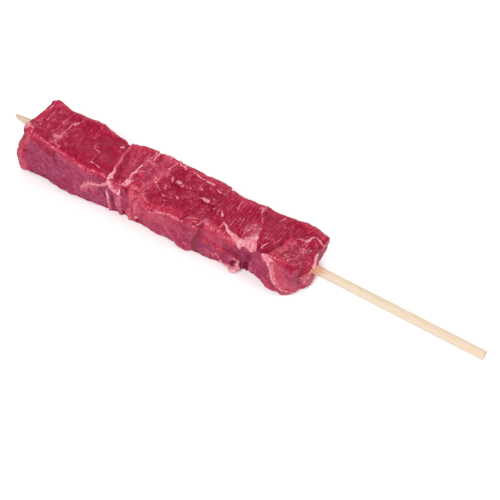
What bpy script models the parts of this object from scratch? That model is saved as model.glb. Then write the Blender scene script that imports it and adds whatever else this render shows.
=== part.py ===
"""Raw lamb kebab: six pieces of raw lamb on one round wooden skewer.

The kebab lies on its side on the table.  +X runs along the skewer from its
point to its blunt end, +Y points away from the side that is seen first, and
+Z is up.  The origin is at the middle of the kebab's box, on the table.

Sizes are in millimetres and are turned into metres when a mesh is made.
While a piece is being shaped, x is measured from the skewer's point, and
y and z from the skewer's axis.
"""

import math
from dataclasses import dataclass, field

import bmesh
import bpy
import numpy as np
from mathutils import Vector, noise

MM = 0.001

# The skewer: a round stick, whittled to a blunt point at one end.
SKEWER_LENGTH = 250.0
SKEWER_DIAMETER = 4.4
POINT_LENGTH = 13.0
POINT_DIAMETER = 1.0
POINT_STEPS = 4
END_BEVEL = 0.3
SKEWER_SIDES = 20
SHARP_ANGLE = 40.0      # in degrees: flatter edges of the skewer are shaded smooth

# The meat as a whole.
AXIS_HEIGHT = 13.0      # the skewer's axis above the table
GAP = 0.3               # between two pieces, and between meat and skewer
FACET = 2.1             # the usual side of a facet
FLAT_ANGLE = 0.3        # facets closer to flat than this, in degrees, are joined
GRAIN_SIZE = 8.0        # size of the bumps on the uneven surface of cut meat
GRAIN_HEIGHT = 0.45     # their height
GRAIN_ROUGHNESS = 0.8   # how fast the finer bumps get lower
GRAIN_STEP = 2.1        # how much finer each layer of bumps is than the last
GRAIN_LAYERS = 3
SEED_STEP = (17.0, 5.0, 0.0)    # how far apart two chunks lie in the grain
CALM_DEPTH = 2.0        # how far from a cut or the table the relief fades out


@dataclass
class Cut:
    """A cut across the skewer: where it crosses the axis, its slants and its bulge."""
    x: float
    slant_y: float = 0.0     # shift along X for each millimetre towards the back
    slant_z: float = 0.0     # shift along X for each millimetre up
    bulge: float = 0.0       # extra shift along X, greatest where y is bulge_y
    bulge_y: float = 0.0
    bulge_width: float = 5.0

    def at(self, y, z):
        swell = self.bulge * np.exp(-((y - self.bulge_y) / self.bulge_width) ** 2)
        return self.x + self.slant_y * y + self.slant_z * z + swell


@dataclass
class Relief:
    """A ridge (height above 0) or a crease (below 0) that runs from start to end."""
    start: tuple
    end: tuple
    width: float
    height: float


@dataclass
class Chunk:
    """A piece of lamb between two cuts.  Pairs give the left and the right end."""
    left: Cut
    right: Cut
    front: tuple             # y of the front face
    back: tuple              # y of the back face
    top_front: tuple         # z of the top's front edge
    top_back: tuple          # z of the top's back edge
    edge: float = 2.2        # radius of the edges along the skewer
    end_edge: float = 1.1    # radius where a face meets a cut
    seed: float = 0.0
    relief: list = field(default_factory=list)


CUTS = [
    Cut(15.6, slant_y=0.10, slant_z=0.08),
    Cut(61.2, slant_y=-0.14),
    Cut(70.9, slant_y=0.17),
    Cut(80.4, slant_y=0.14, slant_z=0.03, bulge=-2.4, bulge_y=-7.5),
    Cut(111.3, slant_y=-0.05, slant_z=0.20),
    Cut(134.4, slant_y=-0.46, slant_z=0.20),
    Cut(160.4, slant_y=0.13, slant_z=0.26),
]

CHUNKS = {
    # The largest cube, highest at its left end.
    "lamb_1": Chunk(
        CUTS[0], CUTS[1], front=(-16.4, -15.2), back=(9.0, 9.4),
        top_front=(17.6, 10.5), top_back=(13.4, 10.6), edge=2.4, end_edge=1.8, seed=1.0,
        relief=[
            Relief((38.0, -16.5, -9.0), (52.0, -15.5, -9.0), width=5.0, height=1.8),
            Relief((13.0, -15.0, -4.0), (13.0, -10.0, 0.0), width=5.0, height=2.0),
            Relief((20.0, 9.0, 14.0), (25.0, 9.0, 13.0), width=2.5, height=1.4),
            Relief((46.0, 9.0, 12.0), (55.0, 9.0, 11.0), width=4.0, height=1.2),
            Relief((19.5, -14.0, 15.5), (20.0, -12.0, 16.0), width=2.0, height=1.2),
        ]),
    # A thin slice, folded over the front so that its edge hangs as a tongue.
    "lamb_2": Chunk(
        CUTS[1], CUTS[2], front=(-14.4, -13.2), back=(11.0, 13.5),
        top_front=(9.5, 9.3), top_back=(9.0, 8.5), seed=2.0,
        relief=[
            Relief((65.0, -14.0, 5.0), (68.0, -13.5, 5.0), width=2.4, height=1.4),
            Relief((66.0, -14.0, -3.5), (66.5, -14.0, -9.0), width=3.2, height=-1.8),
            Relief((66.3, -8.0, 9.3), (66.0, 8.0, 9.0), width=2.2, height=-0.7),
        ]),
    # A thin slice under a membrane that is drawn down to a lobe at the front.
    "lamb_3": Chunk(
        CUTS[2], CUTS[3], front=(-13.8, -14.2), back=(13.5, 15.0),
        top_front=(8.0, 5.0), top_back=(8.5, 7.5), seed=3.0,
        relief=[
            Relief((75.0, -13.5, -9.0), (77.0, -13.5, -10.0), width=2.2, height=1.2),
            Relief((73.5, -12.0, 6.0), (73.5, 8.0, 8.0), width=2.0, height=0.6),
        ]),
    # A flat cube with a lump at the right end of its front edge.
    "lamb_4": Chunk(
        CUTS[3], CUTS[4], front=(-14.4, -14.4), back=(15.8, 16.0),
        top_front=(3.0, 10.0), top_back=(6.0, 6.5), seed=4.0,
        relief=[
            Relief((101.5, -0.5, 7.3), (109.0, 1.5, 7.8), width=1.8, height=1.0),
            Relief((102.5, -3.5, 7.6), (109.5, -2.0, 8.2), width=1.6, height=-0.9),
            Relief((92.0, 2.5, 6.0), (108.0, 10.0, 6.6), width=1.8, height=0.5),
            Relief((105.5, -13.0, 8.0), (109.5, -12.5, 8.0), width=2.0, height=0.9),
            Relief((97.0, -15.0, -9.0), (104.0, -15.0, -9.0), width=3.5, height=0.9),
        ]),
    # A cube with a seam of fat on top, a hanging nub of fat and a hollow at its right.
    "lamb_5": Chunk(
        CUTS[4], CUTS[5], front=(-14.4, -10.6), back=(12.3, 12.3),
        top_front=(10.5, 7.0), top_back=(9.5, 9.5), seed=5.0,
        relief=[
            Relief((120.5, -6.0, 9.8), (125.0, -9.5, 9.2), width=1.8, height=0.9),
            Relief((126.0, -10.0, 8.6), (132.0, -11.2, 6.0), width=1.8, height=0.9),
            Relief((129.0, -13.0, -10.5), (129.5, -12.5, -4.0), width=2.2, height=3.0),
            Relief((133.0, -11.0, -9.0), (134.5, -9.0, -2.0), width=2.8, height=-3.6),
            Relief((122.0, -14.0, -3.0), (127.0, -13.0, -1.0), width=2.6, height=-1.2),
        ]),
    # A cube whose top is crossed by a muscle's edge, and whose front has a rim of fat.
    "lamb_6": Chunk(
        CUTS[5], CUTS[6], front=(-11.4, -12.8), back=(15.8, 16.4),
        top_front=(9.5, 9.3), top_back=(6.5, 5.2), edge=2.4, end_edge=1.6, seed=6.0,
        relief=[
            Relief((146.0, -6.0, 9.0), (149.0, 4.5, 8.0), width=1.9, height=0.9),
            Relief((149.0, 4.5, 8.0), (159.0, 9.5, 7.0), width=1.9, height=0.9),
            Relief((144.5, -11.3, 7.0), (148.5, -12.3, -2.0), width=1.7, height=1.0),
            Relief((148.5, -12.3, -2.0), (154.5, -12.7, -7.5), width=1.7, height=1.0),
            Relief((142.0, -12.0, 0.0), (145.5, -12.5, -7.0), width=2.4, height=-0.7),
            Relief((141.5, -12.0, -9.5), (147.0, -12.5, -10.0), width=2.6, height=1.4),
            Relief((160.0, -2.0, -9.0), (160.0, 1.0, -9.0), width=3.8, height=4.6),
        ]),
}


def ramp(pair, share):
    """Go from the first value of a pair to the second as share goes from 0 to 1."""
    return pair[0] + (pair[1] - pair[0]) * share


def knots(half, radius):
    """Places of the grid lines along one side of a box: a cell in each rounded edge."""
    inner = half - radius
    cells = max(1, round(2 * inner / FACET))
    return np.concatenate([[-half], np.linspace(-inner, inner, cells + 1), [half]])


def rounded_box(halves, radii):
    """Return the points and four-sided faces of a box with rounded edges."""
    lines = [knots(half, radius) for half, radius in zip(halves, radii)]
    counts = [len(line) - 1 for line in lines]
    numbers = {}
    points = []
    faces = []

    def corner(cell):
        if cell not in numbers:
            numbers[cell] = len(points)
            points.append([lines[axis][cell[axis]] for axis in range(3)])
        return numbers[cell]

    for axis in range(3):
        side_a, side_b = (axis + 1) % 3, (axis + 2) % 3
        for level in (0, counts[axis]):
            for a in range(counts[side_a]):
                for b in range(counts[side_b]):
                    loop = []
                    for step_a, step_b in ((0, 0), (1, 0), (1, 1), (0, 1)):
                        cell = [0, 0, 0]
                        cell[axis] = level
                        cell[side_a] = a + step_a
                        cell[side_b] = b + step_b
                        loop.append(corner(tuple(cell)))
                    faces.append(loop if level else loop[::-1])

    points = np.array(points)
    inner = halves - radii
    core = np.clip(points, -inner, inner)
    outward = (points - core) / radii
    outward /= np.linalg.norm(outward, axis=1, keepdims=True)
    return core + radii * outward, faces


def fit_to_chunk(points, halves, chunk):
    """Stretch a box's points so that they fill the chunk between its two cuts."""
    along, across, up = ((points / halves + 1) / 2).T
    top = ramp((ramp(chunk.top_front, along), ramp(chunk.top_back, along)), across)
    z = ramp((-AXIS_HEIGHT, top), up)
    y = ramp((ramp(chunk.front, along), ramp(chunk.back, along)), across)
    left = chunk.left.at(y, z) + GAP / 2
    right = chunk.right.at(y, z) - GAP / 2
    return np.stack([ramp((left, right), along), y, z], axis=1)


def normals_of(points, faces):
    """Outward direction at each point, from the faces that meet there."""
    loops = np.array(faces)
    first, second, third, fourth = (points[loops[:, side]] for side in range(4))
    across = np.cross(third - first, fourth - second)
    normals = np.zeros_like(points)
    for side in range(4):
        np.add.at(normals, loops[:, side], across)
    return normals / np.linalg.norm(normals, axis=1, keepdims=True)


def distance_to_line(points, start, end):
    """Distance from each point to the straight line between start and end."""
    start = np.array(start, dtype=float)
    run = np.array(end, dtype=float) - start
    length_squared = max(run @ run, 1e-9)
    share = np.clip((points - start) @ run / length_squared, 0, 1)
    return np.linalg.norm(points - start - share[:, None] * run, axis=1)


def calm(distance):
    """Rise smoothly from 0 on a cut to 1 well away from it."""
    share = np.clip(distance / CALM_DEPTH, 0, 1)
    return share * share * (3 - 2 * share)


def relief_height(points, chunk):
    """How far the chunk's ridges, creases and grain lift each point."""
    height = np.zeros(len(points))
    for mark in chunk.relief:
        distance = distance_to_line(points, mark.start, mark.end)
        height += mark.height * np.exp(-0.5 * (distance / mark.width) ** 2)
    offset = Vector(SEED_STEP) * chunk.seed
    for number, point in enumerate(points):
        place = Vector(point) / GRAIN_SIZE + offset
        bump = noise.fractal(place, GRAIN_ROUGHNESS, GRAIN_STEP, GRAIN_LAYERS)
        height[number] += GRAIN_HEIGHT * bump
    return height


def shape_surface(points, faces, chunk):
    """Move the surface along its normals, but leave the underside and the cuts as they are."""
    x, y, z = points.T
    height = relief_height(points, chunk) * calm(z + AXIS_HEIGHT)
    if chunk.left is not CUTS[0]:
        height *= calm(x - chunk.left.at(y, z) - GAP / 2)
    if chunk.right is not CUTS[-1]:
        height *= calm(chunk.right.at(y, z) - x - GAP / 2)
    return points + height[:, None] * normals_of(points, faces)


def make_material(name, color, roughness, metallic=0.0):
    """A plain material of one colour, given as linear red, green and blue."""
    material = bpy.data.materials.new(name)
    material.use_nodes = True
    shader = material.node_tree.nodes["Principled BSDF"]
    shader.inputs["Base Color"].default_value = (*color, 1.0)
    shader.inputs["Roughness"].default_value = roughness
    shader.inputs["Metallic"].default_value = metallic
    return material


def make_object(name, mesh_builder, material, parent):
    """Make a named object from a bmesh whose points are in millimetres."""
    bmesh.ops.scale(mesh_builder, vec=(MM, MM, MM), verts=mesh_builder.verts)
    mesh = bpy.data.meshes.new(name)
    mesh_builder.to_mesh(mesh)
    mesh_builder.free()
    mesh.materials.append(material)
    piece = bpy.data.objects.new(name, mesh)
    bpy.context.collection.objects.link(piece)
    piece.parent = parent
    mesh.shade_smooth()
    return piece


def turned_rod(profile):
    """A closed rod along X, turned from (x, radius) pairs."""
    builder = bmesh.new()
    rings = []
    for x, radius in profile:
        ring = []
        for side in range(SKEWER_SIDES):
            angle = 2 * math.pi * side / SKEWER_SIDES
            place = (x, radius * math.cos(angle), radius * math.sin(angle))
            ring.append(builder.verts.new(place))
        rings.append(ring)
    for near, far in zip(rings, rings[1:]):
        for side in range(SKEWER_SIDES):
            after = (side + 1) % SKEWER_SIDES
            builder.faces.new((near[side], near[after], far[after], far[side]))
    builder.faces.new(rings[0][::-1])
    builder.faces.new(rings[-1])
    bmesh.ops.recalc_face_normals(builder, faces=builder.faces)
    return builder


def make_skewer(parent):
    """The stick, which swells from its blunt point like a quarter of a sine wave."""
    radius = SKEWER_DIAMETER / 2
    tip = POINT_DIAMETER / 2
    profile = []
    for step in range(POINT_STEPS + 1):
        share = step / POINT_STEPS
        swell = math.sin(share * math.pi / 2)
        profile.append((POINT_LENGTH * share, tip + (radius - tip) * swell))
    profile.append((SKEWER_LENGTH - END_BEVEL, radius))
    profile.append((SKEWER_LENGTH, radius - END_BEVEL))
    material = make_material("pale_wood", color=(0.87, 0.69, 0.47), roughness=0.6)
    skewer = make_object("skewer", turned_rod(profile), material, parent)
    skewer.data.set_sharp_from_angle(angle=math.radians(SHARP_ANGLE))
    return skewer


def make_bore(parent):
    """The hole that the skewer makes, as a rod to cut away from every chunk."""
    radius = SKEWER_DIAMETER / 2 + GAP
    rod = turned_rod([(0.0, radius), (SKEWER_LENGTH, radius)])
    material = make_material("meat_in_bore", color=(0.2, 0.02, 0.03), roughness=0.6)
    bore = make_object("bore", rod, material, parent)
    bore.hide_render = True
    bore.display_type = "WIRE"
    return bore


def make_chunk(name, chunk, bore, material, parent):
    """One piece of lamb, with the hole that the skewer makes through it."""
    middle_y = (sum(chunk.front) + sum(chunk.back)) / 4
    halves = np.array([
        (chunk.right.at(middle_y, 0) - chunk.left.at(middle_y, 0)) / 2,
        (sum(chunk.back) - sum(chunk.front)) / 4,
        AXIS_HEIGHT / 2 + (sum(chunk.top_front) + sum(chunk.top_back)) / 8,
    ])
    radii = np.array([chunk.end_edge, chunk.edge, chunk.edge])
    points, faces = rounded_box(halves, radii)
    points = fit_to_chunk(points, halves, chunk)
    points = shape_surface(points, faces, chunk)
    builder = bmesh.new()
    verts = [builder.verts.new(point) for point in points]
    for loop in faces:
        builder.faces.new([verts[number] for number in loop])
    bmesh.ops.dissolve_limit(
        builder, angle_limit=math.radians(FLAT_ANGLE), verts=builder.verts, edges=builder.edges)
    piece = make_object(name, builder, material, parent)
    hole = piece.modifiers.new("skewer_hole", "BOOLEAN")
    hole.operation = "DIFFERENCE"
    hole.object = bore
    return piece


def centre_on_table(kebab, pieces):
    """Move the whole kebab so that the origin is under the middle of its box."""
    corners = np.array([point.co for piece in pieces for point in piece.data.vertices])
    low, high = corners.min(axis=0), corners.max(axis=0)
    kebab.location = (-(low[0] + high[0]) / 2, -(low[1] + high[1]) / 2, -low[2])


def build():
    """Clear the scene and make the kebab, every piece a child of one empty."""
    for old in list(bpy.data.objects):
        bpy.data.objects.remove(old, do_unlink=True)
    kebab = bpy.data.objects.new("kebab", None)
    bpy.context.collection.objects.link(kebab)
    lamb = make_material("raw_lamb", color=(0.39, 0.03, 0.07), roughness=0.35)
    bore = make_bore(kebab)
    pieces = [make_skewer(kebab)]
    for name, chunk in CHUNKS.items():
        pieces.append(make_chunk(name, chunk, bore, lamb, kebab))
    centre_on_table(kebab, pieces)


build()
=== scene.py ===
"""Raw lamb kebab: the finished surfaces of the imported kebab.

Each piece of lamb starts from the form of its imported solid.  It is turned into a
fine mesh, pressed against its neighbours, and gets fibres, creases, seams of fat
and membrane as real relief, with masks that its material reads.  The skewer is
turned again with a whittled point and wood grain.

Places on the kebab are in millimetres: x from the skewer's point, y and z from
the skewer's axis.
"""

import math
from dataclasses import dataclass, field

import bpy
import numpy as np
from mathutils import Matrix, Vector
from mathutils.bvhtree import BVHTree


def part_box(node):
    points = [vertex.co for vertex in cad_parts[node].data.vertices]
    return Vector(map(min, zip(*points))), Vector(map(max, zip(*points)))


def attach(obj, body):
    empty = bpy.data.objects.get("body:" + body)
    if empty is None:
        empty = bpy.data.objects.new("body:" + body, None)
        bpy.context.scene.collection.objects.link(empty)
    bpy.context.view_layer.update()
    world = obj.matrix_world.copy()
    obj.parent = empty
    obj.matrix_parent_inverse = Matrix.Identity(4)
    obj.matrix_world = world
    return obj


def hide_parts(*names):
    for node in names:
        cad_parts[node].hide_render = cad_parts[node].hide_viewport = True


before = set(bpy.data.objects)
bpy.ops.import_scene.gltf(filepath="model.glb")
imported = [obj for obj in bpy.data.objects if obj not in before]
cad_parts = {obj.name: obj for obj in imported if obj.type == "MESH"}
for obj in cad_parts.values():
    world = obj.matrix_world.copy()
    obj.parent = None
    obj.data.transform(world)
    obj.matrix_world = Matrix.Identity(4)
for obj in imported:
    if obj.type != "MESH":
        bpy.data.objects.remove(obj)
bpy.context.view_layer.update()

MM = 0.001
SKEWER_LOW, SKEWER_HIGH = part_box("skewer")
TIP = np.array([
    SKEWER_LOW.x,
    (SKEWER_LOW.y + SKEWER_HIGH.y) / 2,
    (SKEWER_LOW.z + SKEWER_HIGH.z) / 2,
])
SKEWER_LENGTH = (SKEWER_HIGH.x - SKEWER_LOW.x) / MM
SKEWER_RADIUS = (SKEWER_HIGH.z - SKEWER_LOW.z) / 2 / MM
TABLE = -TIP[2] / MM        # height of the table, from the skewer's axis

VOXEL = 0.3      # the fine mesh's step
SMOOTHING = 24     # rounds that melt the solid's facets away
PRESS_REACH = 2.6           # how near to its neighbour a piece starts to swell
PRESS_HEIGHT = 1.25         # how far it swells there, so that the seam is only a crease
OVERLAP = 0.45              # how far pressed faces sink into each other
HUG_END = 161.0             # where the last piece's end closes around the skewer
HUG_START = HUG_END - 3.0   # and where that begins
HUG_SWELL = 3.6             # how far it swells along the skewer there
HUG_WIDTH = 3.0             # over what width
HUG_GAP = 0.3               # the bore's clearance, which closes
HUG_SINK = 0.15             # how far the meat sinks into the skewer
SWAY = 0.55                 # how far the whole form wavers
SWAY_LENGTH = 7.0           # over what distance
TABLE_CALM = 1.2            # the underside stays flat over this height
MARK_REACH = 2.6            # how far a stroke may lie from the surface that it marks
PATH_STEP = 0.4             # how finely a stroke's path is followed
AWAY = 9.0                  # a gap that is beyond every mark


# ---------------------------------------------------------------- noise

class Noise:
    """Smooth random values in space, between about -1 and 1, the same on each run."""

    def __init__(self, seed):
        random = np.random.default_rng(seed)
        self.order = np.tile(random.permutation(256), 2)
        slopes = random.normal(size=(256, 3))
        self.slopes = slopes / np.linalg.norm(slopes, axis=1, keepdims=True)

    def __call__(self, points):
        cell = np.floor(points).astype(int)
        inside = points - cell
        fade = inside ** 3 * (inside * (inside * 6 - 15) + 10)
        cell &= 255
        total = np.zeros(len(points))
        for corner in range(8):
            step = np.array([corner & 1, corner >> 1 & 1, corner >> 2 & 1])
            x, y, z = ((cell + step) & 255).T
            slope = self.slopes[self.order[self.order[self.order[x] + y] + z]]
            lift = np.einsum("ij,ij->i", slope, inside - step)
            total += lift * np.prod(np.where(step, fade, 1 - fade), axis=1)
        return total * 1.6

    def layers(self, points, count, gain=0.5):
        """Finer and finer noise laid over itself."""
        total, height = np.zeros(len(points)), 1.0
        for layer in range(count):
            total += height * self(points * 2.0 ** layer + 7.3 * layer)
            height *= gain
        return total


def smooth_step(low, high, value):
    share = np.clip((value - low) / (high - low), 0, 1)
    return share * share * (3 - 2 * share)


# ---------------------------------------------------------------- fine meshes

def to_kebab(points):
    """From metres in the frame to millimetres from the skewer's point and axis."""
    return (points - TIP) / MM


def from_kebab(points):
    return points * MM + TIP


def read(items, name, width, kind=np.float32):
    """One property of a mesh's items, as rows of width numbers."""
    flat = np.empty(len(items) * width, kind)
    items.foreach_get(name, flat)
    return flat.reshape(-1, width)


def read_points(mesh):
    return read(mesh.vertices, "co", 3).astype(float)


def read_normals(mesh):
    return read(mesh.vertex_normals, "vector", 3).astype(float)


def read_edges(mesh):
    return read(mesh.edges, "vertices", 2, np.int32)


def write_points(mesh, points):
    mesh.vertices.foreach_set("co", points.astype(np.float32).ravel())
    mesh.update()


def neighbour_mean(values, edges):
    """The mean of each point's neighbours, for one value or several per point."""
    first, second = edges.T
    count = np.bincount(edges.ravel(), minlength=len(values))
    columns = values.reshape(len(values), -1)
    means = np.empty_like(columns)
    for column in range(columns.shape[1]):
        total = np.bincount(first, columns[second, column], len(values))
        total += np.bincount(second, columns[first, column], len(values))
        means[:, column] = total / np.maximum(count, 1)
    return means.reshape(values.shape)


def smoothed(values, edges, rounds):
    """Smooth without much shrinking, by a step in and a smaller step back out."""
    for turn in range(rounds):
        share = 0.6 if turn % 2 == 0 else -0.35
        values = values + share * (neighbour_mean(values, edges) - values)
    return values


def blurred(values, edges, rounds):
    for turn in range(rounds):
        values = 0.4 * values + 0.6 * neighbour_mean(values, edges)
    return values


def fine_mesh(node):
    """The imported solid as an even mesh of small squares, with its facets melted away."""
    source = bpy.data.objects.new("source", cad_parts[node].data.copy())
    bpy.context.scene.collection.objects.link(source)
    remesh = source.modifiers.new("remesh", "REMESH")
    remesh.mode = "VOXEL"
    remesh.voxel_size = VOXEL * MM
    mesh = bpy.data.meshes.new_from_object(
        source.evaluated_get(bpy.context.evaluated_depsgraph_get()))
    bpy.data.objects.remove(source)
    mesh.materials.clear()
    points = to_kebab(read_points(mesh))
    points = smoothed(points, read_edges(mesh), SMOOTHING)
    write_points(mesh, from_kebab(points))
    return mesh


def surface_tree(mesh):
    points = to_kebab(read_points(mesh))
    faces = [tuple(face.vertices) for face in mesh.polygons]
    return BVHTree.FromPolygons([tuple(point) for point in points], faces)


# ---------------------------------------------------------------- marks on the meat

@dataclass
class Mark:
    """A stroke on the meat: a seam of fat, a ridge, a pit.  Its path is a smooth
    curve through the given places, laid onto the surface."""
    path: list
    width: float                    # half of its width in the middle
    start: float = None             # half of its width at its first point, where that differs
    end: float = None               # half of its width at its last point
    fat: float = 0.0                # pale fat; a few small marks are painted glints
    film: float = 0.0               # thin pink membrane
    blush: float = 0.0              # brighter red; on rims and edges, a painted highlight
    blood: float = 0.0              # darker red; in creases, pits and hollows, painted shade
    purple: float = 0.0
    fresh: float = 0.0              # shows the fresh cut's red where the side's would be
    calm: float = 0.0               # smooth, without grain
    net: float = 0.0                # a fine net of fat threads
    height: float = 0.0             # how far it stands proud, or is sunk if negative
    ragged: float = 0.3             # how uneven its edge is
    broken: float = 0.0             # how far it is broken up into grains


LAYERS = ("fat", "film", "blush", "blood", "purple", "fresh", "calm", "net")


def kind(**look):
    """A kind of stroke.  Called with a width and paths, it makes a mark along each path."""
    def strokes(width, *paths, **changes):
        return [Mark(path, width, **(look | changes)) for path in paths]
    return strokes


tint = kind()                                   # only what its call says
glow = kind(blush=0.6)                          # brighter red; on rims and edges, a painted highlight
dusk = kind(purple=1.0)                         # purple muscle
shade = kind(blood=0.5, height=-0.15)           # a crease or pit, sunk a little, with painted shade in it
film = kind(film=0.5)                           # membrane
fold = kind(film=0.6, height=0.4, ragged=0.0)   # a ridge under membrane
fat = kind(fat=0.9, height=0.12)                # a seam of fat; small ones also serve as painted glints
thread = kind(fat=0.6, height=0.12, broken=0.4)     # a thin seam, broken up
woven = kind(fat=0.6, film=0.7, height=0.12, broken=0.5, ragged=0.7)    # fat and membrane together


def swell(width, height, *paths, **changes):
    """Smooth swellings, or hollows where the height is negative."""
    return [Mark(path, width, **(dict(height=height, ragged=0.0) | changes)) for path in paths]


def smooth_path(places, spacing):
    """Points at even steps along a curve through the places, with their share of the way."""
    places = np.array(places, dtype=float)
    if len(places) == 1:
        return places, np.array([0.5])
    ends = 2 * places[0] - places[1], 2 * places[-1] - places[-2]
    around = np.vstack([ends[0], places, ends[1]])
    curve, shares = [], []
    for leg in range(len(places) - 1):
        p0, p1, p2, p3 = around[leg:leg + 4]
        steps = max(2, int(np.linalg.norm(p2 - p1) / spacing))
        for step in range(steps + (leg == len(places) - 2)):
            t = step / steps
            curve.append(0.5 * (2 * p1 + (p2 - p0) * t
                                + (2 * p0 - 5 * p1 + 4 * p2 - p3) * t ** 2
                                + (3 * p1 - p0 - 3 * p2 + p3) * t ** 3))
            shares.append((leg + t) / (len(places) - 1))
    return np.array(curve), np.array(shares)


def mark_gap(mark, points, tree, wobble):
    """How far each point is from the mark's path, in half-widths of the mark."""
    curve, shares = smooth_path(mark.path, PATH_STEP)
    start = mark.width if mark.start is None else mark.start
    end = mark.width if mark.end is None else mark.end
    widths = np.interp(shares, [0.0, 0.5, 1.0], [start, mark.width, end])
    found = [tree.find_nearest(Vector(place), MARK_REACH)[0] for place in curve]
    near = [number for number, place in enumerate(found) if place is not None]
    gaps = np.full(len(points), AWAY)
    if not near:
        return gaps
    curve = np.array([found[number] for number in near])
    widths = widths[near]
    reach = widths.max() * 3 + 1.0
    near = (points > curve.min(axis=0) - reach) & (points < curve.max(axis=0) + reach)
    chosen = np.nonzero(np.all(near, axis=1))[0]
    best = np.full(len(chosen), AWAY)
    for place, width in zip(curve, widths):
        best = np.minimum(best, np.linalg.norm(points[chosen] - place, axis=1) / width)
    gaps[chosen] = best * (1 + mark.ragged * wobble[chosen])
    return gaps


# ---------------------------------------------------------------- the pieces of lamb

@dataclass
class Lamb:
    """How one piece of lamb looks."""
    seed: int
    grain: tuple                    # direction of the muscle fibres
    fibre: float = 0.16             # height of the fibres
    lines: int = 0                  # how many long pale fibres show on the cut face
    cells: float = 0.0              # how far a cut across the fibres shows their bundles
    cut_film: float = 0.0           # thin membrane over the cut face
    side_film: float = 0.1          # and over the sides
    side_purple: float = 0.5
    strokes: list = field(default_factory=list)     # lists of marks


LAMBS = {}

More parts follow.
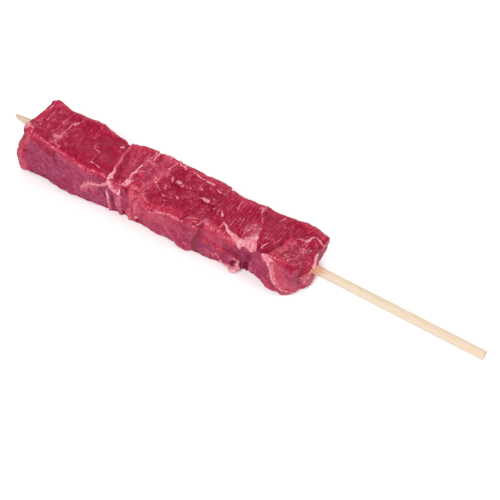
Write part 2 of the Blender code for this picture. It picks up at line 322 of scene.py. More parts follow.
LAMBS["lamb_1"] = Lamb(
    seed=11, grain=(-0.05, 1.0, 0.0), fibre=0.14, lines=2, side_purple=0.8, strokes=[
    # fuller and leaner places
    swell(3, 1.2, [(33, 9, 12.6), (40, 9, 12.5), (44, 9, 12.3)]),
    swell(2.4, -0.3, [(21, 8, 14), (26, 8, 13.6)]),
    swell(2, 0.5, [(16.5, -2, 15.5), (16.8, 3, 15.2)]),
    swell(1.8, 0.9, [(17.6, 8, 14.8), (20, 9.4, 14)]),
    swell(1.6, -0.5, [(14.2, -17.2, -5), (15.2, -17.5, -8.6)]),
    swell(2.8, -2.5, [(53, 7.4, 12), (57, 8.4, 11.2), (60.5, 9, 10)]),
    glow(2.8, [(54, 9, 10), (60, 10, 8)], fresh=1, ragged=0),
    swell(1.8, -0.3, [(17.2, -5, 15.6), (17.5, -8.7, 16)]),
    swell(2.6, -0.9, [(16.6, -15.4, 15), (17, -16.4, 11.5)]),
    swell(1.6, 0.9, [(15, -16.2, 4.5), (14.3, -16.7, 0.5), (13.9, -17.4, -3)], ragged=0.5),
    swell(1.4, 0.8, [(16, -17.3, -10), (19.5, -16.8, -10)], ragged=0.4),
    swell(1.8, -0.5, [(15, -17.2, -1.5), (15.6, -17.3, -5)]),
    swell(2.6, -1, [(46, -17.3, -9.5), (61, -15.5, -10.5)]),
    # the woven streak of fat
    woven(0.5, [(36, 5.6, 12.6), (35.2, 4.5, 12.7), (34.5, 3.6, 12.8), (32.5, 0.6, 13.2)], start=0.35,
        fat=0.52),
    woven(0.8, [(34.5, 3.5, 12.8), (33.4, 1.5, 13.1)], fat=0.7, film=0.6, net=0.8, ragged=0.6),
    fat(0.5, [(32.5, 0.6, 13.2), (32.5, -1.4, 13.4), (32.7, -4.8, 13.8), (32.8, -7.5, 14.2)], fat=0.55,
        film=0.6, ragged=0.8, broken=0.6),
    woven(1.3, [(33.3, -5.6, 13.8), (33, -8.4, 14.2), (31.6, -9.6, 14.5)], net=1, ragged=0.8, broken=0.9),
    woven(1.2, [(33.4, -9.2, 14.1), (32.6, -11.8, 14.6), (31.8, -13, 14.8)], fat=0.3, net=0.8, ragged=0.8,
        broken=1),
    woven(0.8, [(33.1, -12.8, 14.6), (35, -13.6, 14.2)], fat=0.3, net=0.8, ragged=0.8, broken=1),
    # fine threads
    fat(0.5, [(19, 5, 14.3), (18.8, 3.2, 14.4)], fat=0.6, film=0.8),
    fat(0.3, [(23.6, 5.3, 14), (23.9, 3, 14)], fat=0.7),
    thread(0.42, [(21.7, 3, 14.1), (21.8, -0.2, 14.3), (22.3, -3.6, 14.8)], fat=0.55, film=0.7),
    woven(0.8, [(30, 6.5, 12.9), (29.2, 3.9, 13.3), (29.1, 1.8, 13.5), (29.4, -0.6, 13.8)], fat=0.3,
        film=0.55, broken=0.7),
    fat(0.3, [(26.6, 5.9, 13.7), (26.9, 4.2, 13.7)], [(28.8, -3.3, 14.1), (29.1, -5.8, 14.3)], fat=0.6),
    fat(0.35, [(21, -12.8, 17.2), (21.4, -10.5, 16.7), (21.6, -7.8, 15.6)], fat=0.65, broken=0.2),
    fat(0.42, [(19.7, -12.5, 17.6), (21, -12.8, 17.2), (21.4, -14.6, 16.9)], fat=0.75),
    thread(0.24, [(46.6, -9.3, 12.7), (49.2, -10.3, 12.6), (50.3, -7, 12.5)], broken=0.3),
    fat(0.34, [(52.2, -11.4, 12.1), (54.7, -11.7, 11.9), (57.1, -12, 11.5)], fat=0.75, broken=0.3),
    fat(0.7, [(48.9, -3.3, 12), (50.2, -4.2, 11.9), (52, -4.6, 11.8)], fat=0.62, film=0.5, ragged=0.9,
        broken=0.7),
    fat(0.28, [(49.8, 3.4, 11.9), (51.4, 1.2, 11.7), (52.9, -0.8, 11.6)], fat=0.55, broken=0.6),
    fat(0.45, [(58, 3.4, 11.3), (59.2, 4.6, 11)], fat=0.95),
    shade(0.9, [(47.8, 1.3, 12), (49, 0, 11.8), (50.4, -1.2, 11.8)], blood=0.4, height=-0.1),
    # a smooth, darker cut
    swell(2.8, -0.25, [(50.9, 3.3, 12), (54.1, -1.3, 11.5), (58.4, -4.8, 11), (58.8, -10.2, 11.1)],
        blood=0.35, calm=1),
    tint(2.6, [(40, -3, 12.9), (46, -1.6, 12.2)], blood=0.3),
    # bright edges, a painted highlight
    film(1.6, [(17.4, -6, 15.6), (17.6, -1, 15.2), (18, 3, 14.8)], film=0.3, blush=0.8),
    glow(1.8, [(19, 6.4, 14.3), (24, 7, 13.6)]),
    # the bright rim over the front: partly fat and membrane, partly a painted highlight
    glow(1.1, [(20, -15.5, 15.5), (27, -15.2, 14.6), (35, -15.1, 13.4), (42, -15, 12.2), (50, -15.3, 10.6),
        (61, -14.1, 10)], blush=0.9, height=0.15),
    thread(0.36, [(21.8, -14.6, 16.7), (28.4, -14.9, 14.9), (35.3, -15.1, 13.6), (39.9, -14.9, 13.1),
        (44.4, -15.2, 11.7), (49.8, -15.3, 11.1), (55.3, -14.7, 10.8), (61.2, -14.1, 10.2)], film=0.6,
        ragged=0.8, broken=0.6),
    film(2.2, [(38, -15.6, 10.6), (46, -15.5, 8), (52, -15.5, 6.8)], film=0.4),
    tint(1.8, [(24.8, -16.1, 13.6), (29.2, -16.2, 11.4), (33, -15.9, 9.4)], fresh=0.8),
    # the branch of fat on the front
    swell(1.7, 0.2, [(48.7, -16.3, -2.6), (51.4, -15.8, -0.2), (53.6, -15.8, 2), (55.5, -15.6, 3.2),
        (57.4, -15.5, 3.4)], start=0.9, end=1, fat=0.74, film=0.8, net=1, ragged=0.9, broken=0.45),
    film(2.2, [(49.5, -16, -3), (52, -15.8, -0.2), (56, -15.6, 3)], film=0.9, net=1, ragged=0.9, broken=0.6),
    swell(0.65, 0.25, [(53.4, -15.8, 2.3), (55.5, -15.6, 3.6), (57.4, -15.5, 3.8), (59.1, -15.5, 4.1),
        (60.9, -15.4, 5.6), (62.6, -14.2, 7.6)], start=0.5, end=0.8, fat=0.95, ragged=0.5),
    # a pit, sunk, with painted shade in it
    dusk(0.9, [(61.5, -15, -0.4), (61.9, -14.8, -2.4)], blood=1, purple=0.8, height=-0.5),
    dusk(2, [(55, -15.6, -1), (59, -15.3, 0)], purple=0.8),
    # pits, sunk a little, with painted shade in them
    swell(0.6, -0.2, [(34.3, -15.9, 11.6), (34, -15.7, 7.6), (34.5, -15.7, 5.7)], blood=0.8, ragged=0.8),
    fat(0.3, [(34.2, -15.7, 7.2)], fat=0.8),
    shade(0.55, [(17.5, -16.6, 3.1), (19.3, -16.3, 4)], blood=0.8, ragged=0.8),
    swell(0.5, -0.1, [(20.4, -16.4, 3.2), (22.6, -16.3, 4.2)], blood=0.75, ragged=0.8),
    # painted glints: small pale specks where the moist front catches the light
    fat(0.3, [(23.7, -16.3, 11.5)], [(31, -16.2, 6.9)], [(20.1, -16.7, 0)], [(38.7, -16.3, -1.1)],
        [(44.2, -15.9, 4.3)], fat=0.85),
    fat(0.4, [(30.1, -16.2, 6.7)], [(24.6, -16.3, -1.8)], [(17.2, -17.5, -6.3)], fat=0.85),
    fat(0.34, [(28.6, -16.3, 4)], fat=0.85),
    fat(0.45, [(27.1, -16, -1.7)], [(25, -16.2, -5)], fat=0.85),
    fat(0.28, [(36.5, -16, -4.5)], [(41, -16, -6)], fat=0.85),
    # the knob of fat by the skewer's point
    swell(1.8, 1.2, [(17.5, -12.7, 16.9)], fat=0.95, film=1, ragged=0.1),
    film(1.5, [(19.1, -14.7, 17.1)], blush=1, height=0.3),
    glow(0.5, [(18.2, -14.2, 17.4)], blush=0.8, height=-0.3),
    swell(1.7, -1.4, [(16.9, -15, 16.8), (16.6, -16.2, 13.6), (15.8, -16, 9.5)], blush=0.8),
    # the redder end
    film(2.6, [(19.4, -15.3, 17), (18, -16.4, 11.6), (15, -16.3, 3.8), (15, -17.3, -3.9), (16, -17.3, -8.7)],
        blush=0.9),
    film(1.2, [(20.9, -15.8, 16.2), (20.4, -16.5, 12.5), (18.2, -16.4, 8.3)], film=0.6),
    # painted shade along the lower edge of the front
    shade(1.3, [(19.7, -16.7, -9.5), (31, -16.6, -10.7)], height=0),
    glow(1.2, [(35, -17.5, -9.7), (46.4, -17.2, -10)], blush=0.4),
])

LAMBS["lamb_2"] = Lamb(
    seed=12, grain=(-0.12, 1.0, 0.0), lines=3, cut_film=0.2, side_film=0.3, side_purple=0.3, strokes=[
    # the tongue with its pale rim
    fat(0.5, [(60, 3.6, 10.6), (60.6, 0.3, 9.8), (61.4, -3.2, 9.4), (62.3, -6, 9)], start=0.4, fat=0.35,
        film=0.75, height=0.2, broken=0.5),
    film(0.95, [(62.4, -6.6, 8.9), (62.9, -8.2, 8.9), (63.3, -9.9, 9.1), (64, -12.3, 9.3)], start=0.5,
        fat=0.75, height=0.3, ragged=0.5),
    fat(0.85, [(63.6, -12.9, 8.8), (64.2, -13.9, 8.1)], fat=1, height=0.3),
    swell(0.75, 0.5, [(64.3, -13.9, 8.5), (64.5, -14.5, 7.3), (64.9, -15, 5.4), (66, -15, 4.6),
        (67.3, -14.2, 4), (68.4, -13.4, 4), (70, -13.6, 5.4)], start=0.85, end=0.5, fat=0.85, ragged=0.5),
    fat(0.36, [(64.9, -14.3, 8), (65.9, -14.9, 6.6), (66.9, -14.7, 5.2), (68.2, -13, 5.5), (69.8, -13, 6.9)],
        fat=0.72, height=0.2, broken=0.2),
    fat(0.32, [(65.4, -13.8, 8.7), (66.2, -14.6, 7.4), (67.6, -13.9, 6.3), (68.4, -12.6, 6.9),
        (68.6, -11.3, 8.1)], fat=0.65, height=0.2, broken=0.2),
    thread(0.3, [(66.8, -13.4, 8.4), (67.8, -12.6, 8.2), (68.9, -9.3, 8.4), (69.1, -8.1, 8.4)], broken=0.3),
    glow(1.3, [(65.2, -13.6, 8.4), (67, -14, 6.6), (68.6, -11.5, 7.6)], film=0.3),
    # a painted shadow beside the tongue's raised rim
    shade(0.9, [(63.3, 2.4, 8.7), (64, -3, 8.8), (64.5, -6, 8.9), (65.4, -10.5, 9), (66.4, -12.8, 8.5)],
        height=-0.3, ragged=0.8),
    glow(1.3, [(62.5, 8.7, 8.9), (66, 10.8, 8.3), (71.5, 11.6, 8.3)], blush=0.7),
    film(1.2, [(62, 3, 9.4), (63.2, -2, 9)], film=0.4),
    film(2.3, [(66.4, 8, 8.2), (66.4, 2.7, 8.2), (66.8, -1.8, 8.5), (67.6, -6.5, 8.7)], film=0.4, calm=0.8),
    swell(1.5, 0.7, [(64.5, 11.4, 7.6), (68.5, 12, 7.4)]),
    # the pale seam at its right
    woven(0.5, [(71.9, 12.4, 7.8), (71.4, 7.7, 8.2), (70.6, 3.3, 8.4), (70.4, 0.4, 8.3), (70.1, -2.5, 8),
        (70, -6.4, 7.8)], film=0.8, height=0.3),
    fat(0.3, [(71, 12.5, 8.1), (70.6, 8, 8.8), (69.7, 4.4, 8.7)], fat=0.55, broken=0.3),
    # the front under the tongue
    swell(1.8, 0.5, [(63.8, -13.2, 1), (64, -13.2, -4), (64.4, -13.2, -8)]),
    swell(2.4, 1, [(66.6, -12.9, 1), (66.8, -12.7, -5.6)], purple=0.6, calm=0.8),
    dusk(2.2, [(65, -13.1, 1), (65.4, -13, -8)], purple=0.9, calm=0.8, ragged=0),
    swell(1.6, 0.6, [(64.5, -13, -10), (67.5, -12.8, -10.5)]),
    swell(1.6, 0.5, [(65, -13, -11.5), (68, -13, -12)]),
])

LAMBS["lamb_3"] = Lamb(
    seed=13, grain=(0.1, 1.0, 0.1), cut_film=0.4, side_film=0.3, side_purple=0.2, strokes=[
    woven(0.5, [(73.3, 12.5, 7.4), (72.5, 8, 7.6), (72, 2.3, 7.6), (71.3, -2.5, 7.9), (70.9, -5.7, 7.8),
        (71.3, -9, 7.8)], fat=0.65, film=0.9, height=0.2),
    fat(0.36, [(74.2, 11.4, 8.3), (73.9, 9.6, 8.4), (73.6, 7.2, 8.5)], fat=0.85, height=0.1),
    thread(1, [(72.9, 5.6, 8.3), (74.4, 5.6, 8.4)], fat=0.5, film=0.9, ragged=0.6),
    glow(1.5, [(76.3, 12.6, 8), (80.2, 12.5, 7.7)], blush=0.7),
    swell(1.3, 0.4, [(76.3, 12.9, 7.4), (78.6, 13.2, 7.2)]),
    swell(1.2, -0.7, [(72.6, 12.4, 7.4)]),
    dusk(2, [(79, 9, 7.2), (78.4, 5, 7), (78, 1, 7), (77.4, -4, 6.6)], film=0.3, purple=0.5, calm=0.6),
    dusk(1.6, [(76.4, -3.4, 7.1), (76.2, -0.6, 7.5), (76.5, 3.4, 7.8)], blood=0.35, purple=0.7, height=-0.2),
    film(1, [(79.8, 5, 6.3), (79.5, 2.4, 6.2), (78.9, -0.6, 6.3)], film=0.6, net=0.7),
    dusk(0.9, [(72.7, 1.5, 8.4), (75.1, 1.7, 8.2), (75.4, -1.5, 7.6)], purple=0.8),
    tint(1.1, [(75.8, 10.2, 8.3), (76.1, 7.3, 8.1)], blood=0.6),
    fat(0.26, [(81.9, 12.6, 6.6), (81.3, 9.9, 6.6), (81.1, 7.4, 6.3)], fat=0.75),
    fat(0.4, [(81.1, 7.2, 6.1), (80.6, 3.7, 5.9), (80, 0.7, 5.6)], fat=0.45, film=0.6, ragged=0.8,
        broken=0.7),
    thread(0.32, [(78.8, -1.5, 6.2), (77.7, -3.9, 6), (76.5, -6.6, 6)], fat=0.55),
    fat(0.3, [(71.4, -3.3, 7.9), (72.4, -1.2, 8.1), (74.2, 0.3, 8.2)], fat=0.65, broken=0.2),
    glow(0.9, [(73.8, -2.7, 8)], blush=1),
    glow(0.8, [(74.2, -7.2, 7.3)], blush=1),
    # folds of membrane
    film(1.2, [(73.6, -10.4, 7.2), (75.3, -13.7, 5.3), (75.3, -14.2, 2), (74.6, -14.1, -3)], film=0.8,
        calm=0.6, height=0.35),
    thread(0.3, [(72.6, -11, 7.2), (75.6, -14, 4.4), (74.6, -13.9, -3.6)], fat=0.45, film=0.6),
    thread(0.32, [(73.5, -10.2, 7.2), (76.1, -13.3, 5.3), (76.9, -13.9, -0.5)], fat=0.5, film=0.7),
    dusk(2.2, [(71, -13.8, 3), (71.3, -14, -3), (71.6, -14.3, -9)], purple=0.7, calm=0.8),
    swell(1.9, -1.8, [(69, -13.6, -10.6), (72, -14.6, -10)]),
    film(1.9, [(74.8, -14.1, -5.1), (74.9, -14.6, -7.6), (74.4, -14.9, -9.6)], blush=0.9, height=1.6),
    swell(1.5, -1.4, [(77, -14.4, -10.6), (79, -14.2, -10.6)]),
    shade(0.5, [(75.9, -14.8, -8)], blood=0.4, height=-0.1),
])

LAMBS["lamb_4"] = Lamb(
    seed=14, grain=(0.25, 0.15, 1.0), cells=1.0, cut_film=0.12, side_film=0.55, side_purple=0.3, strokes=[
    swell(1.9, -1.2, [(78, -14.1, -10.6), (82, -14.2, -10.8)]),
    # flecks of fat, with painted shadows in the creases under them
    thread(0.5, [(82.1, 3.6, 4.7), (83.2, 4.5, 5)], fat=0.45, film=0.6),
    fat(0.6, [(84.9, 5.7, 5.2), (85.8, 3.9, 5.3)], fat=0.72, film=0.7, height=0.25),
    swell(0.85, 0.35, [(88.4, 4.4, 5.6), (90.4, 3.7, 6.1)], fat=0.8, film=0.7, ragged=0.5),
    fat(0.4, [(92.2, 2.4, 6.3), (92.5, 3.6, 6.4)], fat=0.7),
    shade(0.7, [(85.2, 2.4, 5.2), (89.1, 2.3, 5.8), (91.8, 1.6, 6.2)], height=-0.25, ragged=0.6),
    thread(0.3, [(92.2, 2.1, 6.3), (94.3, 2.5, 6.5), (96.2, 3.7, 6.8)], broken=0.7),
    fat(0.4, [(99.3, 6.3, 6.9), (100.9, 5.4, 7)], fat=0.6),
    fat(0.25, [(101.4, 6.9, 7.1), (104.5, 8, 7.3)], fat=0.55, broken=0.6),
    shade(0.4, [(93.3, 1.3, 6.3), (98.8, 3.6, 6.9), (104.6, 7.1, 7.2)], [(96.7, -3, 6.6), (103.3, -0.7, 8)]),
    fat(0.42, [(91.9, -2.8, 6), (93.9, -3.8, 6.3)], start=0.3, end=0.5, fat=0.8, height=0.2),
    fat(0.32, [(94.9, -1.8, 6.3), (95.7, -2.1, 6.4)], fat=0.6),
    thread(0.4, [(101.2, 0.6, 7.8), (104.1, 0.3, 8)]),
    fold(0.95, [(104.4, 0.6, 8.1), (106.6, 0.9, 8.3), (107.9, 0.5, 8.4)], start=0.4, end=0.6, fat=0.85,
        film=0.7, ragged=0.5),
    shade(0.7, [(104.6, -0.9, 7.8), (107.3, -0.6, 7.9), (109.6, -0.3, 8)], blood=0.7, height=-0.35),
    fat(0.42, [(108.6, 3.3, 8.2)], fat=0.85),
    thread(0.34, [(109.9, 1.2, 8.4), (111, 0.2, 8.3)], fat=0.65),
    fat(0.48, [(111.6, -1.1, 8.1), (111.9, -2, 8)], fat=0.75, broken=0.2),
    fat(0.34, [(92, 12.8, 6.2), (95.2, 12, 6.2), (98.1, 11.7, 6.4)], fat=0.8),
    fat(0.75, [(99.7, 11.7, 6.5), (101.8, 11.3, 6.7), (103.8, 10.7, 7)], fat=0.8, ragged=0.5, broken=0.2),
    woven(0.6, [(83.6, 13.6, 5.6), (84.9, 13.5, 5.7), (87.1, 12.6, 5.8)], fat=0.68, ragged=0.5, broken=0.2),
    fat(0.38, [(106.5, 9, 7.4), (108.7, 8.4, 7.3), (110.5, 8.1, 7.3)], fat=0.65),
    thread(0.3, [(111.2, 8.8, 7.1), (111.4, 10.5, 6.6), (111.3, 13.2, 5.5)]),
    fat(0.25, [(82.9, 10.8, 5.4), (83.5, 10.4, 5.3), (84.4, 10, 5.4)], fat=0.65),
    fat(0.3, [(89.3, 9.5, 5.8), (89.6, 8.2, 5.8)], fat=0.5),
    fat(0.28, [(80.6, -1, 4.6), (81.6, -1.6, 4.4), (82.6, -2.4, 4.5), (84.4, -3.7, 4.7)], fat=0.7),
    fat(0.4, [(85.9, -0.6, 5.1)], fat=0.65),
    fat(0.42, [(86.5, -5.1, 5.1), (87.4, -5.7, 5.4)], fat=0.62),
    fat(0.38, [(88.9, -7.8, 5.6), (90, -8.1, 5.9)], fat=0.7),
    fat(0.3, [(82.2, -7.5, 4.3), (84.8, -8.7, 4.7), (86.6, -9.4, 5)], fat=0.55, broken=0.6),
    fat(0.3, [(99, -4.8, 6.6), (101.5, -3.6, 7)], fat=0.4),
    # the bright edge, partly a painted highlight, and its knotted end, with painted shade in its hollows
    glow(2, [(81, -12.3, 4.2), (85.1, -13, 4.3), (90.1, -12.6, 5.5), (95, -12, 6.4), (101, -12, 7.2)],
        blush=1),
    thread(0.7, [(80.6, -12.6, 3.4), (82, -13.8, 2.8), (85.3, -14.5, 2.2), (88.3, -14.5, 3.4)], start=0.4,
        fat=0.55, film=0.9, net=0.6, height=0.35, ragged=0.8),
    thread(0.65, [(88.3, -14.5, 3.4), (91.8, -13.9, 5), (94, -13.6, 5.6), (96.1, -13.6, 6),
        (98.6, -13.8, 6.3), (101.6, -13.9, 6.8)], film=0.9, net=0.6, height=0.3, ragged=0.8),
    fat(0.25, [(83.5, -13.5, 3.4), (88, -13.8, 4.3), (92, -13.2, 5.4)], fat=0.5, broken=0.5),
    swell(2.8, 0.6, [(107.8, -12.8, 8.8)], film=0.4, blush=0.6),
    thread(0.4, [(102.9, -14, 7), (104.3, -13.8, 8), (105.3, -12.8, 8.8), (106.5, -12.8, 9.1)], fat=0.55,
        film=0.6, height=0.3, ragged=0.7),
    thread(0.36, [(107.5, -12.5, 9.5), (109, -12, 9.7), (110.4, -11.4, 9.7), (111.4, -11.8, 9.7),
        (111.4, -12.9, 9.6), (110.6, -13.8, 9.2), (109.8, -14.7, 8.4)], film=0.7, height=0.35, ragged=0.8),
    woven(0.3, [(107.4, -13.3, 9.1), (107.9, -14, 8.8), (109.1, -14.1, 9)], fat=0.55, film=0.5, height=0.2,
        broken=0.2),
    woven(0.32, [(108.6, -13.3, 9.4), (110.2, -12.9, 9.6)], film=0.5, height=0.2, broken=0.2),
    shade(0.7, [(105.4, -14.3, 7.4)], height=-0.2),
    shade(0.5, [(109.3, -13.7, 9.2)], height=-0.2),
    film(2.2, [(105, -14.4, 3), (110, -14.9, 5)], film=0.3, fresh=0.7),
    # folds of membrane
    fat(0.5, [(86, -14.5, 0.6), (93.8, -14.4, -4.2), (101.6, -15.2, -9.3)], fat=0.4, film=0.9, height=0.2),
    fat(0.4, [(98.5, -14.7, 2.2), (101, -14.6, -2.6), (104.4, -14.9, -6.5)], fat=0.3, film=0.6),
    tint(4, [(82, -14.4, -1), (90, -14.5, -3), (98, -14.7, -2), (104, -14.8, 1)], calm=0.7),
    film(3, [(83, -14.4, -2), (90, -14.5, 0), (98, -14.6, 1)]),
    dusk(2.4, [(98, -15.1, -8), (103.5, -14.8, -5.8), (107, -14.6, -1)], blood=0.25, purple=0.8),
    fat(0.36, [(104.2, -15, -7.2), (105.2, -15, -7.2)], fat=0.7),
    swell(2.4, -0.3, [(92, -15, -11), (97, -15.3, -10.6)]),
    swell(1.6, 0.5, [(86, -14.4, -10.6), (90, -14.6, -10.8)]),
    swell(1.8, -0.7, [(94, -15.2, -10.8), (99, -15.2, -10.6)]),
    swell(1.8, 0.7, [(100.5, -15.2, -10.4), (105.5, -15.2, -10.6)]),
])

LAMBS["lamb_5"] = Lamb(
    seed=15, grain=(-0.11, 1.0, 0.1), fibre=0.2, lines=12, side_film=0.25, side_purple=0.5, strokes=[
    fat(0.22, [(114.6, 10, 9.5), (114.7, 7.2, 9.6), (114.5, 3.6, 9.7), (114.9, 0.9, 9.8)], fat=0.58,
        broken=0.3),
    fat(0.28, [(113.2, 8.1, 9.4), (112.9, 3, 9), (113.3, -1, 8.8)], fat=0.55, broken=0.3),
    fat(0.24, [(116.8, 3.9, 9.7), (117, -0.6, 9.9)], fat=0.55, broken=0.3),
    thread(0.24, [(121.6, 5.4, 9.6), (120.7, 3.9, 9.6), (119.7, 1.2, 9.6), (118.6, -1.5, 9.7)], broken=0.3),
    fat(0.22, [(127.3, 6.5, 9.1), (126, 3.6, 9), (125.4, -0.6, 8.8), (124.9, -4.6, 9.4)], fat=0.62,
        broken=0.2),
    fat(0.24, [(122.2, 2.7, 9.4), (121.3, -1.2, 9.4)], fat=0.5),
    thread(0.24, [(117.1, -3, 9.9), (116.8, -6.9, 9.9), (116.2, -10.2, 10)],
        [(123.6, 8.1, 9.5), (123.1, 4.2, 9.4), (122.5, 0.3, 9.2)], fat=0.5),
    fat(0.22, [(127.6, -1.5, 8.9), (126.7, -5, 9.2), (126.2, -7.6, 9.8)], fat=0.58, broken=0.2),
    fat(0.25, [(129.9, -2.6, 8.8), (128.7, -5.7, 9)], fat=0.6),
    thread(0.25, [(132, -2.6, 8.6), (130.8, -6.3, 8.6)], broken=0.2),
    fat(0.22, [(118.2, 8.1, 9.5), (118.3, 5.1, 9.6)], fat=0.5),
    fat(0.36, [(120.4, 7.8, 9.5), (121.1, 5.7, 9.6)], fat=0.62),
    fat(0.42, [(121.1, 5.6, 9.6), (121.8, 3.9, 9.6)], fat=0.55, film=0.4, broken=0.2),
    swell(0.5, 0.3, [(116.7, -1.9, 9.9), (117.3, -2.9, 9.9), (117.9, -3.8, 9.8)], start=0.35, fat=1,
        ragged=0.2),
    # the seam of fat and its patch
    swell(0.55, 0.3, [(120.9, -6.6, 10.2), (122.7, -7.8, 10.2), (124.9, -9.9, 10.5), (126.8, -10.2, 10.1)],
        start=0.35, end=0.8, fat=1, ragged=0.2),
    swell(1.5, 0.3, [(126.8, -10.2, 10.1), (129.3, -10.4, 8.9), (132.1, -10.3, 8.2)], start=0.8, end=1.7,
        fat=1, ragged=0.2),
    swell(0.9, 0.3, [(131.2, -10.9, 8), (132.2, -11.5, 6.8), (132.6, -12, 5.3)], start=1.2, end=0.35, fat=1,
        ragged=0.15),
    swell(1.6, 0.3, [(132.4, -10.2, 8.1), (134.4, -9.6, 7.9), (136, -8.6, 7.7)], end=2.2, fat=1, ragged=0.2),
    swell(2.4, 0.2, [(135, -8, 7.9), (137.4, -7, 7.5)], fat=1, ragged=0.2),
    swell(0.9, 0.2, [(135.7, -10, 7.4), (136.9, -10.6, 6.4), (137.4, -10.9, 4.8)], start=1.3, end=0.35,
        fat=1, ragged=0.15),
    fat(0.9, [(137.5, -9.2, 7.3), (137.9, -10.2, 6.6)], fat=0.95, height=0.1),
    fat(0.5, [(134.2, -7.4, 8.1), (134.8, -6.3, 8)], end=0.3, fat=0.95),
    # the thin net above the patch
    dusk(1.9, [(131.5, -3, 8.8), (133, -1, 8.6), (134.5, -2.4, 8.3), (136.2, -3.2, 8.1)], film=0.45,
        purple=0.6, net=1, ragged=0.6, broken=0.4),
    dusk(1.2, [(134, -4.8, 8.2), (136, -4.4, 7.9)], film=0.6, purple=0.4, net=0.8),
    thread(0.3, [(131.4, -2.1, 8.6), (131.8, -0.8, 8.6), (132.5, 0.6, 8.5), (134.6, 0.7, 8.2)], fat=0.65),
    fat(0.3, [(131.4, -4.8, 8.7), (132, -3.6, 8.6), (133.3, -3.3, 8.5)], fat=0.65, broken=0.3),
    fat(0.5, [(137.3, -4.9, 7.5), (136.2, -2.4, 7.7), (135, 0.8, 7.8)], start=0.8, end=0.2, fat=0.5,
        film=0.5, ragged=0.8, broken=0.7),
    fat(0.3, [(133.6, -1.9, 8.4), (135.6, -2.4, 8)], fat=0.55, broken=0.5),
    fat(0.3, [(134.4, -4.6, 8.2), (136, -3.6, 7.9)], fat=0.5, broken=0.5),
    woven(0.6, [(129.4, 9.9, 9), (130.6, 9.3, 9), (131, 8.2, 8.8)], fat=0.55),
    fat(0.45, [(132.9, 5.1, 8.4), (134, 2.9, 8)], fat=0.5, film=0.7, broken=0.6),
    # the bright edge, partly a painted highlight; lumps, and hollows with painted shade
    film(2, [(114.4, -11.6, 9.4), (118, -12, 9.3), (120.7, -12.3, 9), (124.8, -12.4, 9),
        (128.6, -12.2, 7.6)], blush=0.8, height=0.2),
    woven(0.4, [(113.4, -10.4, 9.2), (115.8, -11.9, 9.9), (118.2, -11.9, 9.6), (121.7, -11.6, 9.5)],
        fat=0.55, film=0.6, broken=0.6),
    woven(0.4, [(118.8, -11.7, 9.6), (120.9, -9.3, 9.9), (121, -7.4, 10.2)], fat=0.45),
    woven(1, [(119.6, -13.2, 7.8), (122, -13, 7.4)], fat=0.45, film=0.5, broken=1),
    film(2, [(117, -13.8, 5.6), (122, -13, 4)]),
    film(1.3, [(126, -12.6, 5.4), (129, -12.4, 6.4)], film=0.4, blush=0.9, height=0.3),
    swell(1.3, 0.8, [(115.6, -13.9, 2.1), (116.4, -13.7, 1)], blush=1, fresh=1, ragged=0.6),
    swell(1.2, 0.8, [(118.4, -13.4, 1.5), (119.4, -13.1, 0.7)], blush=1, fresh=1, ragged=0.6),
    shade(0.5, [(117.4, -13.6, 0.6)], blood=0.6, height=-0.3),
    swell(1.7, 0.9, [(121, -12.5, -1.4), (122.4, -12.2, -0.2), (123.4, -11.9, -1.8)], blush=1, fresh=1,
        ragged=0.6),
    thread(0.5, [(121, -12.1, -2.1), (121.7, -12.3, -0.5)], film=0.7),
    shade(0.6, [(119.2, -13, 0.8)], blood=0.6, height=-0.2),
    dusk(2.2, [(126.8, -12.2, -1.2), (130.6, -11.9, -2.2)], blood=0.6, height=-0.8),
    dusk(1.6, [(125.6, -12.5, -5), (129.1, -12.7, -3), (132.2, -10.5, -2.4)], purple=0.9),
    fat(0.6, [(118.8, -13.2, -6.2), (118.8, -13.2, -8.4)], fat=0.62, film=0.8, broken=0.3),
    fat(0.7, [(120.3, -12.8, -6), (121.6, -12.7, -7.4)], fat=0.62, film=0.8, broken=0.3),
    fat(0.5, [(121.9, -12.8, -8.3), (122.8, -12.7, -9.5)], fat=0.6, film=0.8),
    # the hook of fat
    fat(0.9, [(123.1, -12.7, -9), (124.9, -12.8, -9.9), (127.2, -13.3, -10.2), (128.4, -13.5, -10.6)],
        start=0.6, end=1.2, height=1, ragged=0.5),
    swell(1.3, 1.1, [(128.6, -13.5, -10.6), (129.3, -13.2, -10.6), (130.4, -11.8, -10.6)], fat=1,
        ragged=0.2),
    fat(0.95, [(129.8, -12.4, -9.6), (130.5, -11.7, -8.1), (130.8, -11.5, -6)], start=1.2, end=0.7, film=1,
        height=0.9, ragged=0.4),
    fat(0.42, [(130.8, -11.9, -5.2), (130.1, -12.6, -4), (129.2, -12.8, -3.7)], fat=0.62, blush=0.9,
        height=0.4),
    # the hole in the hook, sunk, with painted shade in it
    dusk(1.15, [(129.4, -13, -6.3), (128.3, -13.2, -7.5)], blood=0.95, height=-1, ragged=0.2),
    dusk(0.8, [(126.2, -13, -7.2), (127.4, -13.2, -7.8)], height=-0.4),
    fat(0.36, [(127.3, -13.3, -8.8), (129.2, -13.2, -9)], fat=0.6, film=0.6),
    # the gap at its right, filled up, with painted shade in its recess
    swell(1.8, 1, [(132, -9.8, -2.5), (133.2, -8.8, -4.5)], blood=0.3, purple=1),
    dusk(1.8, [(133.4, -8.1, -7.5), (133.5, -9.2, -10.8)], blood=0.6, ragged=0),
    swell(2, -3.2, [(134.4, -9.5, -11.4), (137, -9.7, -11.6)]),
    swell(1.4, 0.6, [(123, -12.9, -10.2), (125.6, -13, -10.4)]),
    swell(1.4, -0.7, [(126, -13.2, -10.6), (127.6, -13.3, -10.6)]),
    swell(1.6, 1.4, [(131.6, -10.8, -10.2), (132.8, -9.9, -10.4)], blood=0.4, purple=0.9),
    dusk(2.2, [(133, -9.4, 1), (136.4, -9.8, 2.6)]),
    dusk(1.8, [(136.6, -9.6, -1), (136.4, -8.6, -6)], blood=0.4, ragged=0),
])

